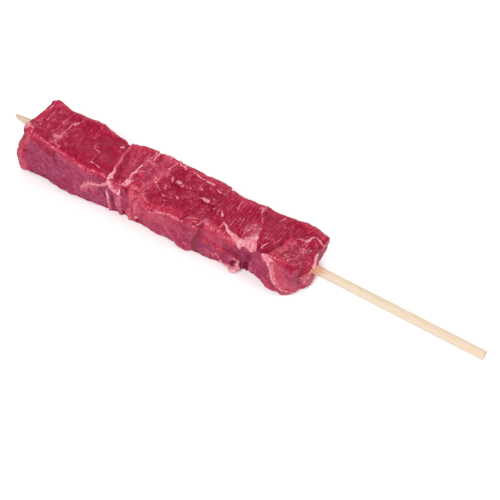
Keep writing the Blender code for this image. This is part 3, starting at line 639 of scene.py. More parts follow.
LAMBS["lamb_6"] = Lamb(
    seed=16, grain=(0.15, 1.0, 0.1), fibre=0.22, lines=8, side_film=0.3, side_purple=0.4, strokes=[
    # fuller and leaner places
    swell(4, -1.1, [(131, 12.4, 6.6), (136, 13.4, 6), (141, 13.6, 6)]),
    swell(1.5, 0.5, [(140, 15.2, 5.2), (143, 15.1, 5.4)]),
    swell(2.8, 0.9, [(147, 14, 6), (153, 14.2, 5.8), (157, 13.5, 6)]),
    swell(2.5, -2.1, [(136.8, -9.7, -11.9), (138.6, -10.4, -11.4), (141.4, -12.2, -10.6)]),
    swell(1.7, 0.4, [(147, -13.2, -10), (150, -13.3, -10.6)]),
    swell(1.6, -0.5, [(153, -13.2, -9), (155.6, -12.8, -8.4)]),
    swell(1.6, 0.8, [(161.6, -1.4, -9.4), (161.8, 0.6, -8)]),
    swell(2.4, 1.7, [(156.6, -12, -9), (158.2, -9.4, -9.5)]),
    swell(2.4, 1.2, [(159, -7.4, -9.6), (160.6, -3.6, -9.6)], [(160.6, -4, -3), (160.6, -3, -7)]),
    swell(2.2, 0.7, [(151, 15.4, 5.4), (156, 14.2, 5.6)]),
    swell(2.6, 1.4, [(158.8, -10.6, 6), (158.8, -10, 0), (158.8, -8, -5)]),
    glow(1.5, [(140.5, 12.6, 6.6), (146, 15, 5.7), (153, 15, 5.4), (160, 12.5, 6)], blush=0.7),
    fat(0.34, [(140.5, 14, 6.3), (139.8, 12, 6.6), (139.9, 9.5, 7.1)], fat=0.7, broken=0.2),
    fat(0.34, [(142.9, -4.2, 8.8), (142.1, -6.8, 9.2), (141.7, -9, 9.2)], fat=0.7),
    shade(0.6, [(142.9, -9, 9.6), (143.6, -6.2, 9.4)]),
    # the wedge and rim of fat, and the membrane inside
    swell(0.9, 0.4, [(144.3, -11.5, 8.5), (145, -11.7, 8.2), (146.2, -12, 7.2), (148, -12.1, 5.4)],
        start=0.7, end=0.7, fat=1, ragged=0.2),
    fat(0.75, [(148, -12.1, 5.4), (148.6, -12.4, 3.1), (149.5, -12.7, 0.7), (150.2, -13.4, -1.6),
        (151.8, -13.4, -3.9)], fat=0.75, film=1, height=0.4),
    fold(0.7, [(151.8, -13.4, -3.9), (153.4, -13.3, -5), (155.5, -13.3, -5.8), (157, -12.4, -6.2)], end=0.5,
        fat=0.62, film=1, ragged=0.5),
    thread(0.55, [(157, -12.4, -6.2), (157.5, -10.2, -8), (158.4, -7.2, -9.3), (159.2, -6.2, -8.6)],
        film=0.6),
    swell(1.4, 0.2, [(145.4, -11.7, 7.9), (147.2, -11.8, 7.2), (149.6, -11.6, 7.3)], start=1.1, end=0.4,
        fat=0.95, film=1, ragged=0.5),
    fat(0.4, [(146.4, -11, 8.6), (148.8, -10.7, 8.6), (150.6, -10.8, 8.5), (152.7, -10.2, 9)], end=0.2,
        fat=0.62, film=0.8, height=0.1),
    fat(1.6, [(149.4, -11.9, 5.2), (150.2, -12.5, 1.3), (151.8, -13, -2.2), (154.6, -13.1, -4.4)], fat=0.52,
        film=1, calm=1, height=0.4),
    film(2, [(151.6, -11.6, 6), (152.4, -12.2, 2), (154, -12.8, -1.4)], film=1, calm=0.9, ragged=0.2),
    swell(2.6, 0.8, [(154, -11.8, 6.6), (155, -12.5, 3.6), (156, -12.6, 0), (156.6, -11.5, -3)], film=0.55,
        calm=0.8),
    # painted shade and a painted highlight that round the lobe
    dusk(2, [(156.6, -12.5, 4), (158, -12, 0), (158.4, -9.6, -3)], blood=0.2, purple=0.5, calm=0.8,
        ragged=0.2),
    glow(1.5, [(154.6, -12.6, 0), (156.6, -12, -3), (158, -9, -7)], film=0.7, calm=0.8),
    # the front muscle under its net
    # painted shade in the valley where the top muscle dips behind the front muscle, and a painted highlight
    # on the front muscle's raised edge
    swell(1.5, -0.6, [(143.3, -10.2, 9.2), (146.1, -8.5, 9.4), (146.8, -5.4, 9.2), (147.5, -1.8, 8.8)],
        blood=0.6),
    swell(1.3, -0.4, [(147.5, -1.8, 8.8), (147.8, 1.5, 8.7), (148.2, 4.5, 8.4), (151.2, 5.8, 8.2)],
        blood=0.4),
    shade(0.7, [(151.2, 6.6, 8.2), (154.6, 7.4, 7.8)], blood=0.4),
    film(1.3, [(147.4, -9.6, 9.1), (148.6, -7, 9), (149.2, -3.9, 8.7), (149.6, -1, 8.6), (150.4, 2, 8.5)],
        film=0.3, blush=1, height=0.4),
    woven(0.4, [(151.6, 5.1, 8.2), (153.7, 5.4, 7.8), (155.5, 5.7, 7.7)], fat=0.5, height=0.1, ragged=0.3),
    swell(0.85, 0.2, [(156, 5.4, 7.5), (157.2, 6.8, 7.6)], fat=0.8, ragged=0.5, broken=0.35),
    fat(0.55, [(157.3, 7.8, 7.6), (157.6, 9.5, 7.4), (158.7, 10.2, 7.2)], fat=0.75, height=0.2, broken=0.3),
    fat(0.42, [(159.4, 10.2, 7.1), (160.5, 9.9, 7), (161.4, 9.3, 6.7), (162.2, 9.2, 5.5),
        (162.5, 12.5, 1.5)], fat=0.8, height=0.25),
    thread(0.4, [(158.9, 9, 7.4), (160.1, 7.8, 7.1), (161.2, 6.2, 6.6)], fat=0.5, film=0.7),
    fat(0.3, [(157.6, 8, 7.4), (158.6, 5.6, 7.3)], fat=0.5, broken=0.5),
    fat(0.24, [(150.2, -6.2, 8.6), (151, -4.1, 8.3), (152.6, -3.5, 8.3), (153.3, -1.6, 8)],
        [(152.8, -7.2, 8.8), (155.4, -7.6, 9), (154.9, -8.7, 9.1)],
        [(153.3, -2.4, 8.1), (155.1, -2.7, 8.1), (156.2, -2.6, 8)],
        [(157.3, -1.5, 7.8), (159.3, -1.8, 7.8), (160.7, -1.5, 7.5)],
        [(151.7, 1.5, 8), (152.3, -0.8, 8), (151.6, -2.7, 8.2)],
        [(155.7, 3.9, 7.6), (156.4, 5.1, 7.5), (157.4, 5.1, 7.4)],
        [(156, 0.9, 7.8), (157.2, 2.1, 7.6), (158.8, 2.1, 7.5)],
        [(151.5, -7.8, 8.8), (153, -8.2, 8.9), (155.5, -8.4, 9.1)], [(161.3, -1.5, 4.9), (160.9, -3.6, 3.9)],
        [(152.4, -5, 8.6), (154.2, -4.6, 8.5), (155, -5.8, 8.7)], [(154.6, 0.4, 8), (155.4, 2.2, 7.8)],
        [(149.9, -3, 8.6), (150.6, -1.6, 8.3)], [(157.5, -4.5, 8.3), (159, -5.6, 7.8)], fat=0.62,
        broken=0.2),
    tint(3, [(150.6, -5, 8.6), (154.6, -6, 8.9), (158, -4, 8.2)], net=0.9),
    tint(2.6, [(152.6, 0, 8.2), (156.4, 2, 8), (159.6, 0, 7.6)], net=0.8),
    tint(2, [(158, -8.6, 7), (160, -5.6, 5.4)], net=0.6),
    shade(0.9, [(158.5, 1.8, 7.6), (160.8, 2.4, 7.2), (159, 4.8, 7.2)], blood=0.6, height=-0.2),
    tint(1, [(156, -5.2, 8.5)], blood=0.4),
    tint(0.9, [(159.4, -3.3, 8)], blood=0.4),
    glow(1.3, [(151.3, -9.8, 9), (155.2, -9.4, 9.2)], blush=0.7),
    tint(3.4, [(160, -9, 3), (160.8, -5, 5.5), (161.6, 0, 6), (161.8, 4, 6)], fresh=1),
    glow(2.6, [(160, -7.5, 0.5), (161.8, -3, 3.5), (161.8, 1, 5.5)], blush=0.3, fresh=1),
    # the purple front, redder at its foot
    dusk(3, [(138.5, -10.4, 2), (141, -11.2, -2), (145, -12.6, -5)], purple=0.9, calm=0.5),
    dusk(1.6, [(140.6, -10.2, 6), (143, -11.6, 6.6)], film=0.3, purple=0.7),
    dusk(1.6, [(139.4, -10, 0), (139.4, -10.4, -6)], blood=0.3),
    glow(1.6, [(144.4, -12.5, -8), (148.4, -13.2, -9.4), (156, -13, -9.6)], blood=0.2),
    fat(0.4, [(146.4, -13.1, -9.2)], fat=0.75),
    # the end around the skewer
    swell(0.95, 0.4, [(161.8, 5, 4), (161.8, 2.6, 4.6), (161.8, 0.6, 3.9), (161.8, -1.4, 2.4)], start=0.6,
        end=0.6, fat=1, ragged=0.2),
    fat(0.6, [(162, 2.4, -4), (162, 1.9, -7), (161.6, 0.4, -9.4)], fat=0.75, film=0.8, height=0.2),
    fat(0.5, [(161.6, 0.4, -9.4), (161, -2, -10.4), (159.8, -4.9, -9.8)], fat=0.6, film=0.8, height=0.2),
    fat(0.4, [(160, -4.6, -3), (161.4, -3, -2.4), (161.8, -2.6, -0.6)], fat=0.65, film=0.6, broken=0.3),
    thread(0.3, [(160.8, -4.6, -1.4), (161.7, -3.4, 0.4)], broken=0.3),
    film(2.1, [(160.3, -3, -4), (161.2, -1.8, -7), (161.8, 0.5, -7)], film=1, net=1, height=0.7),
    dusk(0.7, [(158.6, -7.6, -4), (159.8, -5.6, -6.4)], blood=0.4, purple=0.6, height=-0.4),
    fat(0.7, [(160.4, -2.6, -3.4), (161.4, -1.4, -5), (161.2, -2, -7.4)], fat=0.55, film=1),
    thread(0.4, [(159.4, -6.2, -1.6), (160.4, -4.6, -2.8), (160.6, -4, -5), (161, -3, -7)], film=0.6,
        height=0.2, broken=0.3),
    film(2.2, [(162, 11, -2), (162, 11.6, 2), (162, 9, 3)], film=0.3, blush=0.8, fresh=0.9),
    shade(0.7, [(162, 7.2, 5.6), (162, 6.3, 4.2)], blood=0.9, height=-0.3),
])

# strokes that run over the seams between pieces
SHARED = [
    # the whole upper back is brighter: a fresher red, and a painted rim highlight
    glow(1.9, [(21, 8, 14), (33, 9.6, 12.3), (46, 9.6, 12), (60, 9.6, 10), (66, 12, 7.8), (81.7, 13.7, 6.5),
        (90, 14, 5.5), (111, 13, 5.8), (115, 11.5, 8.8), (129, 11.5, 8.5), (138.7, 15.4, 4.9),
        (146, 15.5, 5.2), (160, 12.8, 5.8)], blush=0.7, fresh=1, ragged=0.4),
    # the deep lines between the pieces are filled to shallow creases
    swell(1.1, 0.3, [(63.1, -14, 3), (63.2, -14, -3), (63.2, -14, -9)]),
    swell(1.8, 1.1, [(68.4, -13, 2), (69.3, -13.3, -1.2), (69.2, -13.3, -5.4)], purple=0.7, calm=0.8),
    swell(0.8, 0.3, [(72.7, -13.8, 4.4), (72.7, -14.1, -3), (72.7, -14.1, -9)]),
    swell(1.3, 0.7, [(77.6, -8.6, 5), (78.2, -11, 4), (78.6, -13.4, 2), (78.7, -14, -2)], film=0.9),
    swell(1.7, 1.3, [(112.9, -10.4, 9), (112.7, -12.4, 6), (112.4, -13.6, 2), (111.6, -14.2, -3),
        (111, -14.4, -6.4)], purple=0.8),
    swell(1.9, -1, [(108.6, -14.8, -11.2), (111.5, -14.4, -10.6), (114, -14.2, -10.4)]),
    swell(1.4, 0.8, [(130.8, 11, 8), (131.2, 8.4, 9), (132.7, 5.4, 8.5), (133.6, 2.7, 8.5),
        (134.9, -1.2, 8.3), (136.8, -6, 7.9)], fresh=1),
    swell(1.3, 0.9, [(129.6, 14.5, 5), (129.7, 12.4, 7.4), (130.2, 10.8, 8.6)]),
    swell(1.5, 1.2, [(137.6, -9.6, -2.6), (137.4, -9.4, -5.6), (137.2, -9.2, -9)], blood=0.3, purple=1),
    fold(1, [(60.4, 9, 8), (60.4, 4, 9.4), (61.2, -1.5, 9.4), (62.6, -6.3, 9), (63.6, -11.7, 9.2)],
        [(72.4, 11.8, 8), (71.4, 7, 8.2), (70.7, 2.7, 8.2), (70.4, -2, 8), (70.8, -8.7, 7.8)]),
    swell(1.1, 0.5, [(81.8, 12.3, 6.6), (81.2, 7.2, 5.7), (80.7, 3.6, 5.1), (80, 0.6, 5.4),
        (79.1, -1.3, 5.9), (78.2, -3.8, 5.3), (77, -6.8, 5)], film=0.5),
    swell(1, 0.35, [(112.6, 12, 5.6), (112.6, 8, 7.4), (112.8, 2, 8), (113, -4, 8.2), (113, -10, 9)]),
    # the rims of fat beside the tongue
    fat(0.2, [(62.5, -14.4, 1.9), (63.6, -13.9, 0.6), (63.7, -13.7, -3.5), (63.7, -13.7, -6.5),
        (63.9, -13.7, -8.9)], start=0.6, end=0.1, fat=0.7, film=0.2, height=0.1),
    fold(0.6, [(70.6, -11.7, 7.5), (71.1, -10, 7.7), (71.7, -8.4, 7.7), (72.3, -7.5, 7.7)], start=0.4,
        end=0.3, fat=0.85, height=0.3, ragged=0.5),
    fat(0.6, [(69.6, -8.2, 8), (70.8, -8.9, 7.8)], fat=0.8, film=0.6, height=0.2),
    shade(0.8, [(72, -12.7, 6.9), (72.6, -13.1, 6)], blood=0.9, height=-0.1),
    # the third piece's fat runs on over the fourth's corner
    woven(0.7, [(74.6, -10.5, 6.8), (75.9, -9.9, 6.1), (77.4, -9.2, 5), (80.1, -10.6, 4),
        (83.1, -11.8, 4.3)], fat=0.55, film=0.9, height=0.25, ragged=0.8),
    thread(0.32, [(76.2, -9, 5.9), (76.6, -7.3, 5.9), (77.5, -5.5, 5.7)], broken=0.3),
    fat(0.32, [(75.9, -10.9, 6.1), (77, -13.2, 4.9)], fat=0.55, broken=0.3),
    film(1.3, [(80, -12, 3.6), (79.4, -14, 0)], film=0.8),
    fat(0.6, [(78.8, -14.2, -6.4)], height=0.3),
    # the crease between the fourth and fifth pieces, with painted shade in it
    shade(1.3, [(113, -12.4, 8.9), (112.7, -13.8, 7.4), (112, -14, 3.8), (110.4, -14.1, -1.1),
        (109.4, -14.5, -6.2), (109.4, -14.5, -10)], blood=0.75, height=-0.1),
    dusk(2.4, [(111, -13.8, 3), (108.6, -14.4, -2), (107.8, -14.6, -8)], blood=0.3, purple=0.8, calm=0.5),
    dusk(1.8, [(112.4, -14.1, 0), (111.8, -14.4, -8)], calm=0.6),
]

SCATTER = 26                # threads and flecks of fat where no mark is listed


def scattered_marks(look, normals, points):
    """Short threads of fat on the back, the underside and the ends."""
    random = np.random.default_rng(look.seed + 100)
    hidden = np.nonzero((normals[:, 1] > 0.4) | (normals[:, 2] < -0.4))[0]
    grain = np.array(look.grain) / np.linalg.norm(look.grain)
    marks = []
    for turn in range(SCATTER):
        place = points[hidden[random.integers(len(hidden))]]
        bend = random.normal(size=3) * 0.5 + grain * random.choice([-1, 1])
        length = random.uniform(0.8, 5.0)
        path = [tuple(place), tuple(place + bend * length * 0.5 + random.normal(size=3) * 0.3),
                tuple(place + bend * length)]
        marks += fat(random.uniform(0.25, 0.5), path, fat=random.uniform(0.5, 0.9))
    return marks


def grain_lines(look, normals, points):
    """Long pale fibres along the grain of the cut face."""
    random = np.random.default_rng(look.seed + 200)
    top = np.nonzero(normals[:, 2] > 0.85)[0]
    grain = np.array(look.grain) / np.linalg.norm(look.grain)
    marks = []
    for turn in range(look.lines):
        place = points[top[random.integers(len(top))]]
        length = random.uniform(1.5, 7.0)
        bend = np.append(random.normal(size=2) * 0.25, 0)
        path = [tuple(place - grain * length / 2), tuple(place + bend), tuple(place + grain * length / 2)]
        marks += fat(0.3, path, start=0.15, end=0.15, fat=random.uniform(0.45, 0.8), height=0.08)
    return marks


def fibre_noise(points, grain, noise, across, along):
    """Noise that is drawn out along the grain."""
    axis = np.array(grain) / np.linalg.norm(grain)
    run = points @ axis
    flat = points - run[:, None] * axis
    return noise.layers(flat / across + run[:, None] * axis / along, 2)


def press_neighbours(points, node, trees):
    """Swell and close up next to the neighbours, so that only a crease is left between.
    Also tells how near each point is to a seam, from 0 to 1."""
    names = list(LAMBS)
    place = names.index(node)
    lift = np.zeros(len(points))
    pull = np.zeros((len(points), 3))
    seam = np.zeros(len(points))
    for other in names[max(0, place - 1):place] + names[place + 1:place + 2]:
        tree = trees[other]
        for number, point in enumerate(points):
            spot, facing, face, gap = tree.find_nearest(Vector(point), PRESS_REACH)
            if spot is None:
                continue
            lift[number] = max(lift[number], 1 - gap / PRESS_REACH)
            seam[number] = max(seam[number], math.exp(-((gap - 0.3) / 0.7) ** 2))
            near = max(0.0, 1 - gap / PRESS_REACH)
            toward = np.array(spot) - point
            pull[number] += toward * near * (0.5 + OVERLAP / max(gap, 0.1))
    outward = points * np.array([0, 1, 1])
    outward /= np.maximum(np.linalg.norm(outward, axis=1, keepdims=True), 1e-6)
    swell = PRESS_HEIGHT * smooth_step(0, 0.85, lift)
    return points + swell[:, None] * outward + pull, seam


SWAY_NOISE = [Noise(seed) for seed in (1, 2, 3)]


def swayed(points):
    """The whole kebab wavers a little, seams and all."""
    shift = np.array([noise.layers(points / SWAY_LENGTH, 2) for noise in SWAY_NOISE]).T
    calm = smooth_step(0.0, 3.0, points[:, 2] - TABLE)
    shift[:, 2] *= calm
    return points + SWAY * shift


def hugging(points):
    """The last piece's end swells along the skewer and closes around it."""
    radius = np.hypot(points[:, 1], points[:, 2])
    last = smooth_step(HUG_START, HUG_END, points[:, 0])
    swell = HUG_SWELL * last * np.exp(-(np.maximum(radius - SKEWER_RADIUS, 0) / HUG_WIDTH) ** 2)
    close = last * np.exp(-(np.maximum(radius - SKEWER_RADIUS - HUG_GAP, 0) / 1.2) ** 2)
    inward = np.minimum(1.0, (SKEWER_RADIUS - HUG_SINK) / np.maximum(radius, 0.1))
    points = points.copy()
    points[:, 0] += swell
    points[:, 1:] *= (1 - close * (1 - inward))[:, None]
    return points


def set_mask(mesh, name, values):
    layer = mesh.attributes.new(name, "FLOAT", "POINT")
    layer.data.foreach_set("value", values.astype(np.float32))


def dress_lamb(node, look, trees):
    mesh = fine_mesh(node)
    edges = read_edges(mesh)
    plain = to_kebab(read_points(mesh))
    tree = surface_tree(mesh)
    plain_normals = read_normals(mesh)
    noise = Noise(look.seed)
    wobble = noise.layers(plain / 0.9 + 80, 2)
    holes = smooth_step(-0.2, 0.5, noise.layers(plain / 0.7 + 120, 2))

    masks = {name: np.zeros(len(plain)) for name in LAYERS}
    relief = np.zeros(len(plain))
    groups = look.strokes + SHARED
    groups += [scattered_marks(look, plain_normals, plain), grain_lines(look, plain_normals, plain)]
    for mark in [mark for group in groups for mark in group]:
        gaps = mark_gap(mark, plain, tree, wobble)
        core = np.clip(1 - gaps / 2 - 0.6 * mark.broken * holes, 0, 1)
        relief += mark.height * np.exp(-0.8 * gaps ** 2)
        for name in LAYERS:
            masks[name] = np.maximum(masks[name], getattr(mark, name) * core)

    points, seam = press_neighbours(plain, node, trees)
    points = swayed(points)
    if node == "lamb_6":
        points = hugging(points)
    write_points(mesh, from_kebab(points))
    normals = read_normals(mesh)
    broad = blurred(normals, edges, 8)
    broad /= np.linalg.norm(broad, axis=1, keepdims=True)

    fibres = fibre_noise(plain, look.grain, noise, across=0.8, along=6.0)
    lumps = noise.layers(plain / 5.0, 3)
    crumbs = noise.layers(plain / 1.1 + 40, 2)
    # how sharply the surface bends outward; the relief is rougher there, and the colour is lighter and
    # redder as a painted highlight
    wide = blurred(points, edges, 14)
    bend = np.einsum("ij,ij->i", points - wide, normals)
    edge = smooth_step(0.05, 0.25, bend)

    up = broad[:, 2]
    side = smooth_step(0.72, 0.40, up + 0.10 * lumps) * (1 - smooth_step(0.15, 0.6, masks.pop("fresh")))
    relief += look.fibre * (1 - 0.5 * side) * (1 - masks["calm"]) * fibres + 0.2 * lumps
    relief += (0.08 + 0.36 * edge) * crumbs
    shift = relief[:, None] * normals
    shift[:, 2] *= smooth_step(0.0, TABLE_CALM, plain[:, 2] - TABLE)
    points = points + shift
    points[:, 2] = np.maximum(points[:, 2], TABLE)
    write_points(mesh, from_kebab(points))

    # painted shade: how far each point lies down in a hollow, which darkens its colour, and lightens it on
    # bumps
    hollow = np.einsum("ij,ij->i", blurred(points, edges, 4) - points, normals)
    masks.update(side=side, seam=seam, edge=edge, hollow=hollow * 5)
    masks.update(fibres=0.5 + 0.4 * fibres, lumps=0.5 + 0.4 * lumps)
    for name, values in masks.items():
        set_mask(mesh, name, values)
    mesh.shade_smooth()

    piece = bpy.data.objects.new(node + "_meat", mesh)
    bpy.context.scene.collection.objects.link(piece)
    mesh.materials.append(lamb_material(node + "_flesh", look))
    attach(piece, "root")
    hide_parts(node)
    return piece


# ---------------------------------------------------------------- materials

EXPOSURE = 1.67             # how bright a level white face comes out under the lights


def base_colour(red, green, blue):
    """The base colour that shows as a screen colour, 0 to 255, under the lights."""
    shares = np.array([red, green, blue]) / 255
    light = np.where(shares <= 0.04045, shares / 12.92, ((shares + 0.055) / 1.055) ** 2.4)
    return (*(light * (1 / EXPOSURE)).tolist(), 1.0)


class Tree:
    """Short calls for building a material's node tree."""

    def __init__(self, name):
        self.material = bpy.data.materials.new(name)
        self.material.use_nodes = True
        self.nodes = self.material.node_tree.nodes
        self.links = self.material.node_tree.links
        self.shader = self.nodes["Principled BSDF"]

    def put(self, socket, value):
        if isinstance(value, (int, float, tuple)):
            socket.default_value = value
        else:
            self.links.new(value, socket)

    def node(self, kind, output, inputs, **settings):
        """A new node's output.  Its inputs are numbers or other nodes' outputs."""
        node = self.nodes.new("ShaderNode" + kind)
        for name, value in settings.items():
            setattr(node, name, value)
        for name, value in inputs.items():
            self.put(node.inputs[name], value)
        return node.outputs[output]

    def mask(self, name):
        return self.node("Attribute", "Fac", {}, attribute_name=name)

    def place(self, grain=None, stretch=1.0):
        """Places in the object, squeezed along the grain so that patterns run along it."""
        where = self.node("TexCoord", "Object", {})
        if grain is None:
            return where
        turn = tuple(Vector((1, 0, 0)).rotation_difference(Vector(grain)).to_euler())
        squeeze = {"Vector": where, "Rotation": turn, "Scale": (stretch, 1, 1)}
        return self.node("Mapping", "Vector", squeeze, vector_type="TEXTURE")

    def noise(self, place, size, detail=2.0, roughness=0.5):
        """Noise whose lumps are about size across, in millimetres."""
        return self.node("TexNoise", "Fac", {
            "Vector": place, "Scale": 1 / (size * MM), "Detail": detail, "Roughness": roughness})

    def cells(self, place, size):
        """How far from the nearest boundary between cells."""
        return self.node("TexVoronoi", "Distance", {"Vector": place, "Scale": 1 / (size * MM)},
                         feature="DISTANCE_TO_EDGE")

    def map(self, value, low, high, to_low=0.0, to_high=1.0, soft=False):
        return self.node("MapRange", "Result", {
            "Value": value, "From Min": low, "From Max": high, "To Min": to_low, "To Max": to_high},
            interpolation_type="SMOOTHSTEP" if soft else "LINEAR")

    def math(self, kind, first, second=0.0):
        return self.node("Math", "Value", {0: first, 1: second}, operation=kind)

    def add(self, *values):
        total = values[0]
        for value in values[1:]:
            total = self.math("ADD", total, value)
        return total

    def times(self, first, second):
        return self.math("MULTIPLY", first, second)

    def crossing(self, noise, near, far):
        """1 where a noise crosses its middle, falling to 0 away from there."""
        return self.map(self.math("ABSOLUTE", self.add(noise, -0.5)), near, far, 1.0, 0.0)

    def ramp(self, value, tones):
        """The colour of a tone from 0 to 1, between screen colours at some tones."""
        node = self.nodes.new("ShaderNodeValToRGB")
        elements = node.color_ramp.elements
        while len(elements) < len(tones):
            elements.new(0.5)
        for element, (place, colour) in zip(elements, tones):
            element.position = place
            element.color = base_colour(*colour)
        self.put(node.inputs["Fac"], value)
        return node.outputs["Color"]

    def mix(self, share, first, second):
        return self.node("Mix", 2, {0: share, 6: first, 7: second}, data_type="RGBA")

    def bump(self, height, distance, strength, normal=None):
        inputs = {"Distance": distance * MM, "Strength": strength, "Height": height}
        if normal is not None:
            inputs["Normal"] = normal
        return self.node("Bump", "Normal", inputs)


CUT_TONES = [(0.0, (136, 6, 42)), (0.22, (152, 10, 49)), (0.5, (166, 17, 57)), (0.72, (180, 34, 71)),
             (0.88, (200, 68, 95)), (1.0, (226, 112, 132))]
SIDE_TONES = [(0.0, (140, 18, 56)), (0.22, (158, 32, 70)), (0.5, (174, 47, 84)), (0.72, (186, 60, 94)),
              (0.88, (204, 86, 113)), (1.0, (224, 124, 145))]
PURPLE_TONES = [(0.0, (130, 22, 64)), (0.3, (154, 40, 84)), (0.55, (168, 56, 100)), (0.8, (186, 76, 116)),
                (1.0, (212, 120, 150))]
BLUSH_AND_HIGHLIGHT_TONES = [(0.1, (176, 20, 55)), (0.5, (196, 38, 71)), (0.9, (226, 92, 114))]
FILM_TONES = [(0.1, (190, 48, 78)), (0.5, (210, 74, 98)), (0.9, (240, 128, 146))]
BLOOD_AND_SHADE_TONES = [(0.2, (108, 4, 34)), (0.8, (146, 12, 48))]
FAT_TONES = [(0.1, (216, 92, 114)), (0.5, (242, 144, 158)), (0.9, (255, 196, 201))]
NET = (240, 150, 165)


def lamb_material(name, look):
    tree = Tree(name)
    place = tree.place()
    along = tree.place(look.grain, stretch=7.0)
    streaks = tree.noise(along, 0.45, detail=3.0, roughness=0.6)
    specks = tree.noise(place, 0.36, detail=3.0, roughness=0.75)
    mottle = tree.noise(place, 2.6, detail=4.0, roughness=0.6)
    broad = tree.noise(place, 8.0)
    threads = tree.noise(along, 1.3)
    side = tree.mask("side")
    edge = tree.mask("edge")
    # thin pale fibres, and pale specks here and there that are painted glints
    line = tree.times(tree.crossing(threads, 0.0, 0.022), tree.map(mottle, 0.47, 0.62))
    grain = tree.times(tree.map(specks, 0.63, 0.72), tree.map(mottle, 0.44, 0.58))

    # tone: 0 in the darkest hollows, where shade is painted, 1 on the palest specks, which are painted
    # glints
    def pattern(noise, strength, side_share):
        """A noise that is stronger or weaker on the sides than on the cut face."""
        return tree.times(tree.map(noise, 0.25, 0.75, -strength, strength),
                          tree.map(side, 0.0, 1.0, 1.0, side_share))

    tone = tree.add(
        pattern(streaks, 0.32, 0.35), pattern(specks, 0.27, 1.05), pattern(mottle, 0.17, 0.7),
        tree.map(broad, 0.3, 0.7, -0.10, 0.10),
        tree.map(tree.mask("fibres"), 0.0, 1.0, -0.16, 0.16),
        tree.times(grain, 0.34),
        tree.times(line, 0.25))
    if look.cells:
        bundles = tree.cells(tree.place((0.3, 0.4, 1.0)), 1.8)
        tone = tree.add(tone, tree.map(bundles, 0.0, 0.09, -0.14, 0.03))
    tone = tree.times(tone, tree.map(tree.mask("calm"), 0.1, 0.8, 1.0, 0.45))
    # painted shade in the hollows and painted light on the bumps; the outward edges lighter still, as a
    # painted highlight
    tone = tree.add(tone, 0.5, tree.map(tree.mask("hollow"), -1.0, 1.0, 0.38, -0.38),
                    tree.times(edge, 0.12))
    flank = tree.mix(look.side_purple, tree.ramp(tone, SIDE_TONES), tree.ramp(tone, PURPLE_TONES))
    colour = tree.mix(side, tree.ramp(tone, CUT_TONES), flank)

    # a mark's mask has its edge where it falls through a half, frayed by noise
    fray = tree.map(tree.add(tree.times(specks, 0.5), tree.times(threads, 0.5)), 0.3, 0.7, -0.23, 0.23)

    def layer(base, name, tones, low, high, strength):
        share = tree.map(tree.add(tree.mask(name), fray), low, high, 0.0, strength, soft=True)
        return tree.mix(share, base, tree.ramp(tone, tones))

    colour = layer(colour, "purple", PURPLE_TONES, 0.1, 0.7, 0.9)
    # brighter red, and painted highlights along the rims and edges
    colour = layer(colour, "blush", BLUSH_AND_HIGHLIGHT_TONES, 0.1, 0.7, 0.85)
    # painted highlight: the outward edges turn a brighter red
    colour = tree.mix(tree.map(edge, 0.0, 1.0, 0.0, 0.6), colour, tree.ramp(tone, BLUSH_AND_HIGHLIGHT_TONES))
    veil = tree.add(tree.map(side, 0.0, 1.0, look.cut_film, look.side_film),
                    tree.map(mottle, 0.3, 0.7, -0.4, 0.4))
    colour = tree.mix(tree.map(veil, 0.1, 0.9, 0.0, 0.7), colour, tree.ramp(tone, FILM_TONES))
    colour = layer(colour, "film", FILM_TONES, 0.1, 0.7, 0.9)
    # darker red, and painted shade in the creases, pits and hollows
    colour = layer(colour, "blood", BLOOD_AND_SHADE_TONES, 0.15, 0.75, 0.9)
    # the net: thin lines where two noises cross their middles
    wires = [tree.crossing(tree.noise(tree.place(run, 1.6), size, detail=1.0), 0.012, 0.032)
             for run, size in (((1, 0.5, 0), 1.5), ((0.3, -1, 0.4), 1.1))]
    wires = tree.times(tree.math("MAXIMUM", *wires), tree.map(mottle, 0.38, 0.58))
    share = tree.times(wires, tree.map(tree.add(tree.mask("net"), fray), 0.2, 0.6, 0.0, 0.62))
    colour = tree.mix(share, colour, base_colour(*NET))
    colour = layer(colour, "fat", FAT_TONES, 0.36, 0.60, 0.95)
    tree.put(tree.shader.inputs["Base Color"], colour)
    tree.put(tree.shader.inputs["Roughness"], tree.map(specks, 0.3, 0.7, 0.30, 0.50))
    tree.shader.inputs["Specular IOR Level"].default_value = 0.12
    tree.shader.inputs["IOR"].default_value = 1.4
    bump = tree.bump(specks, 0.12, 0.5, tree.bump(streaks, 0.26, 0.5))
    tree.put(tree.shader.inputs["Normal"], bump)
    return tree.material


WOOD = (244, 224, 203)
WOOD_GRAIN_AND_SHADE = (238, 211, 180)
WOOD_STAINED = (224, 158, 128)


def wood_material():
    tree = Tree("skewer_wood")
    axis = (1, 0, 0)
    fine = tree.noise(tree.place(axis, stretch=14.0), 0.35, detail=3.0, roughness=0.6)
    wide = tree.noise(tree.place(axis, stretch=20.0), 1.2)
    dots = tree.noise(tree.place(axis, stretch=2.0), 0.6)
    # darker streaks of grain, and painted shade on the upper back
    grain = tree.add(tree.map(fine, 0.35, 0.7, -0.5, 0.7), tree.map(wide, 0.35, 0.65, -0.3, 0.4),
                     tree.mask("upper_shade"))
    base = tree.mix(tree.map(grain, 0.0, 1.0), base_colour(*WOOD), base_colour(*WOOD_GRAIN_AND_SHADE))
    stain = tree.add(tree.mask("stain"), tree.map(dots, 0.3, 0.7, -0.25, 0.25))
    base = tree.mix(tree.map(stain, 0.15, 0.9, soft=True), base, base_colour(*WOOD_STAINED))
    tree.put(tree.shader.inputs["Base Color"], base)
    tree.shader.inputs["Roughness"].default_value = 0.65
    tree.shader.inputs["Specular IOR Level"].default_value = 0.15
    tree.put(tree.shader.inputs["Normal"], tree.bump(fine, 0.08, 0.4))
    return tree.material


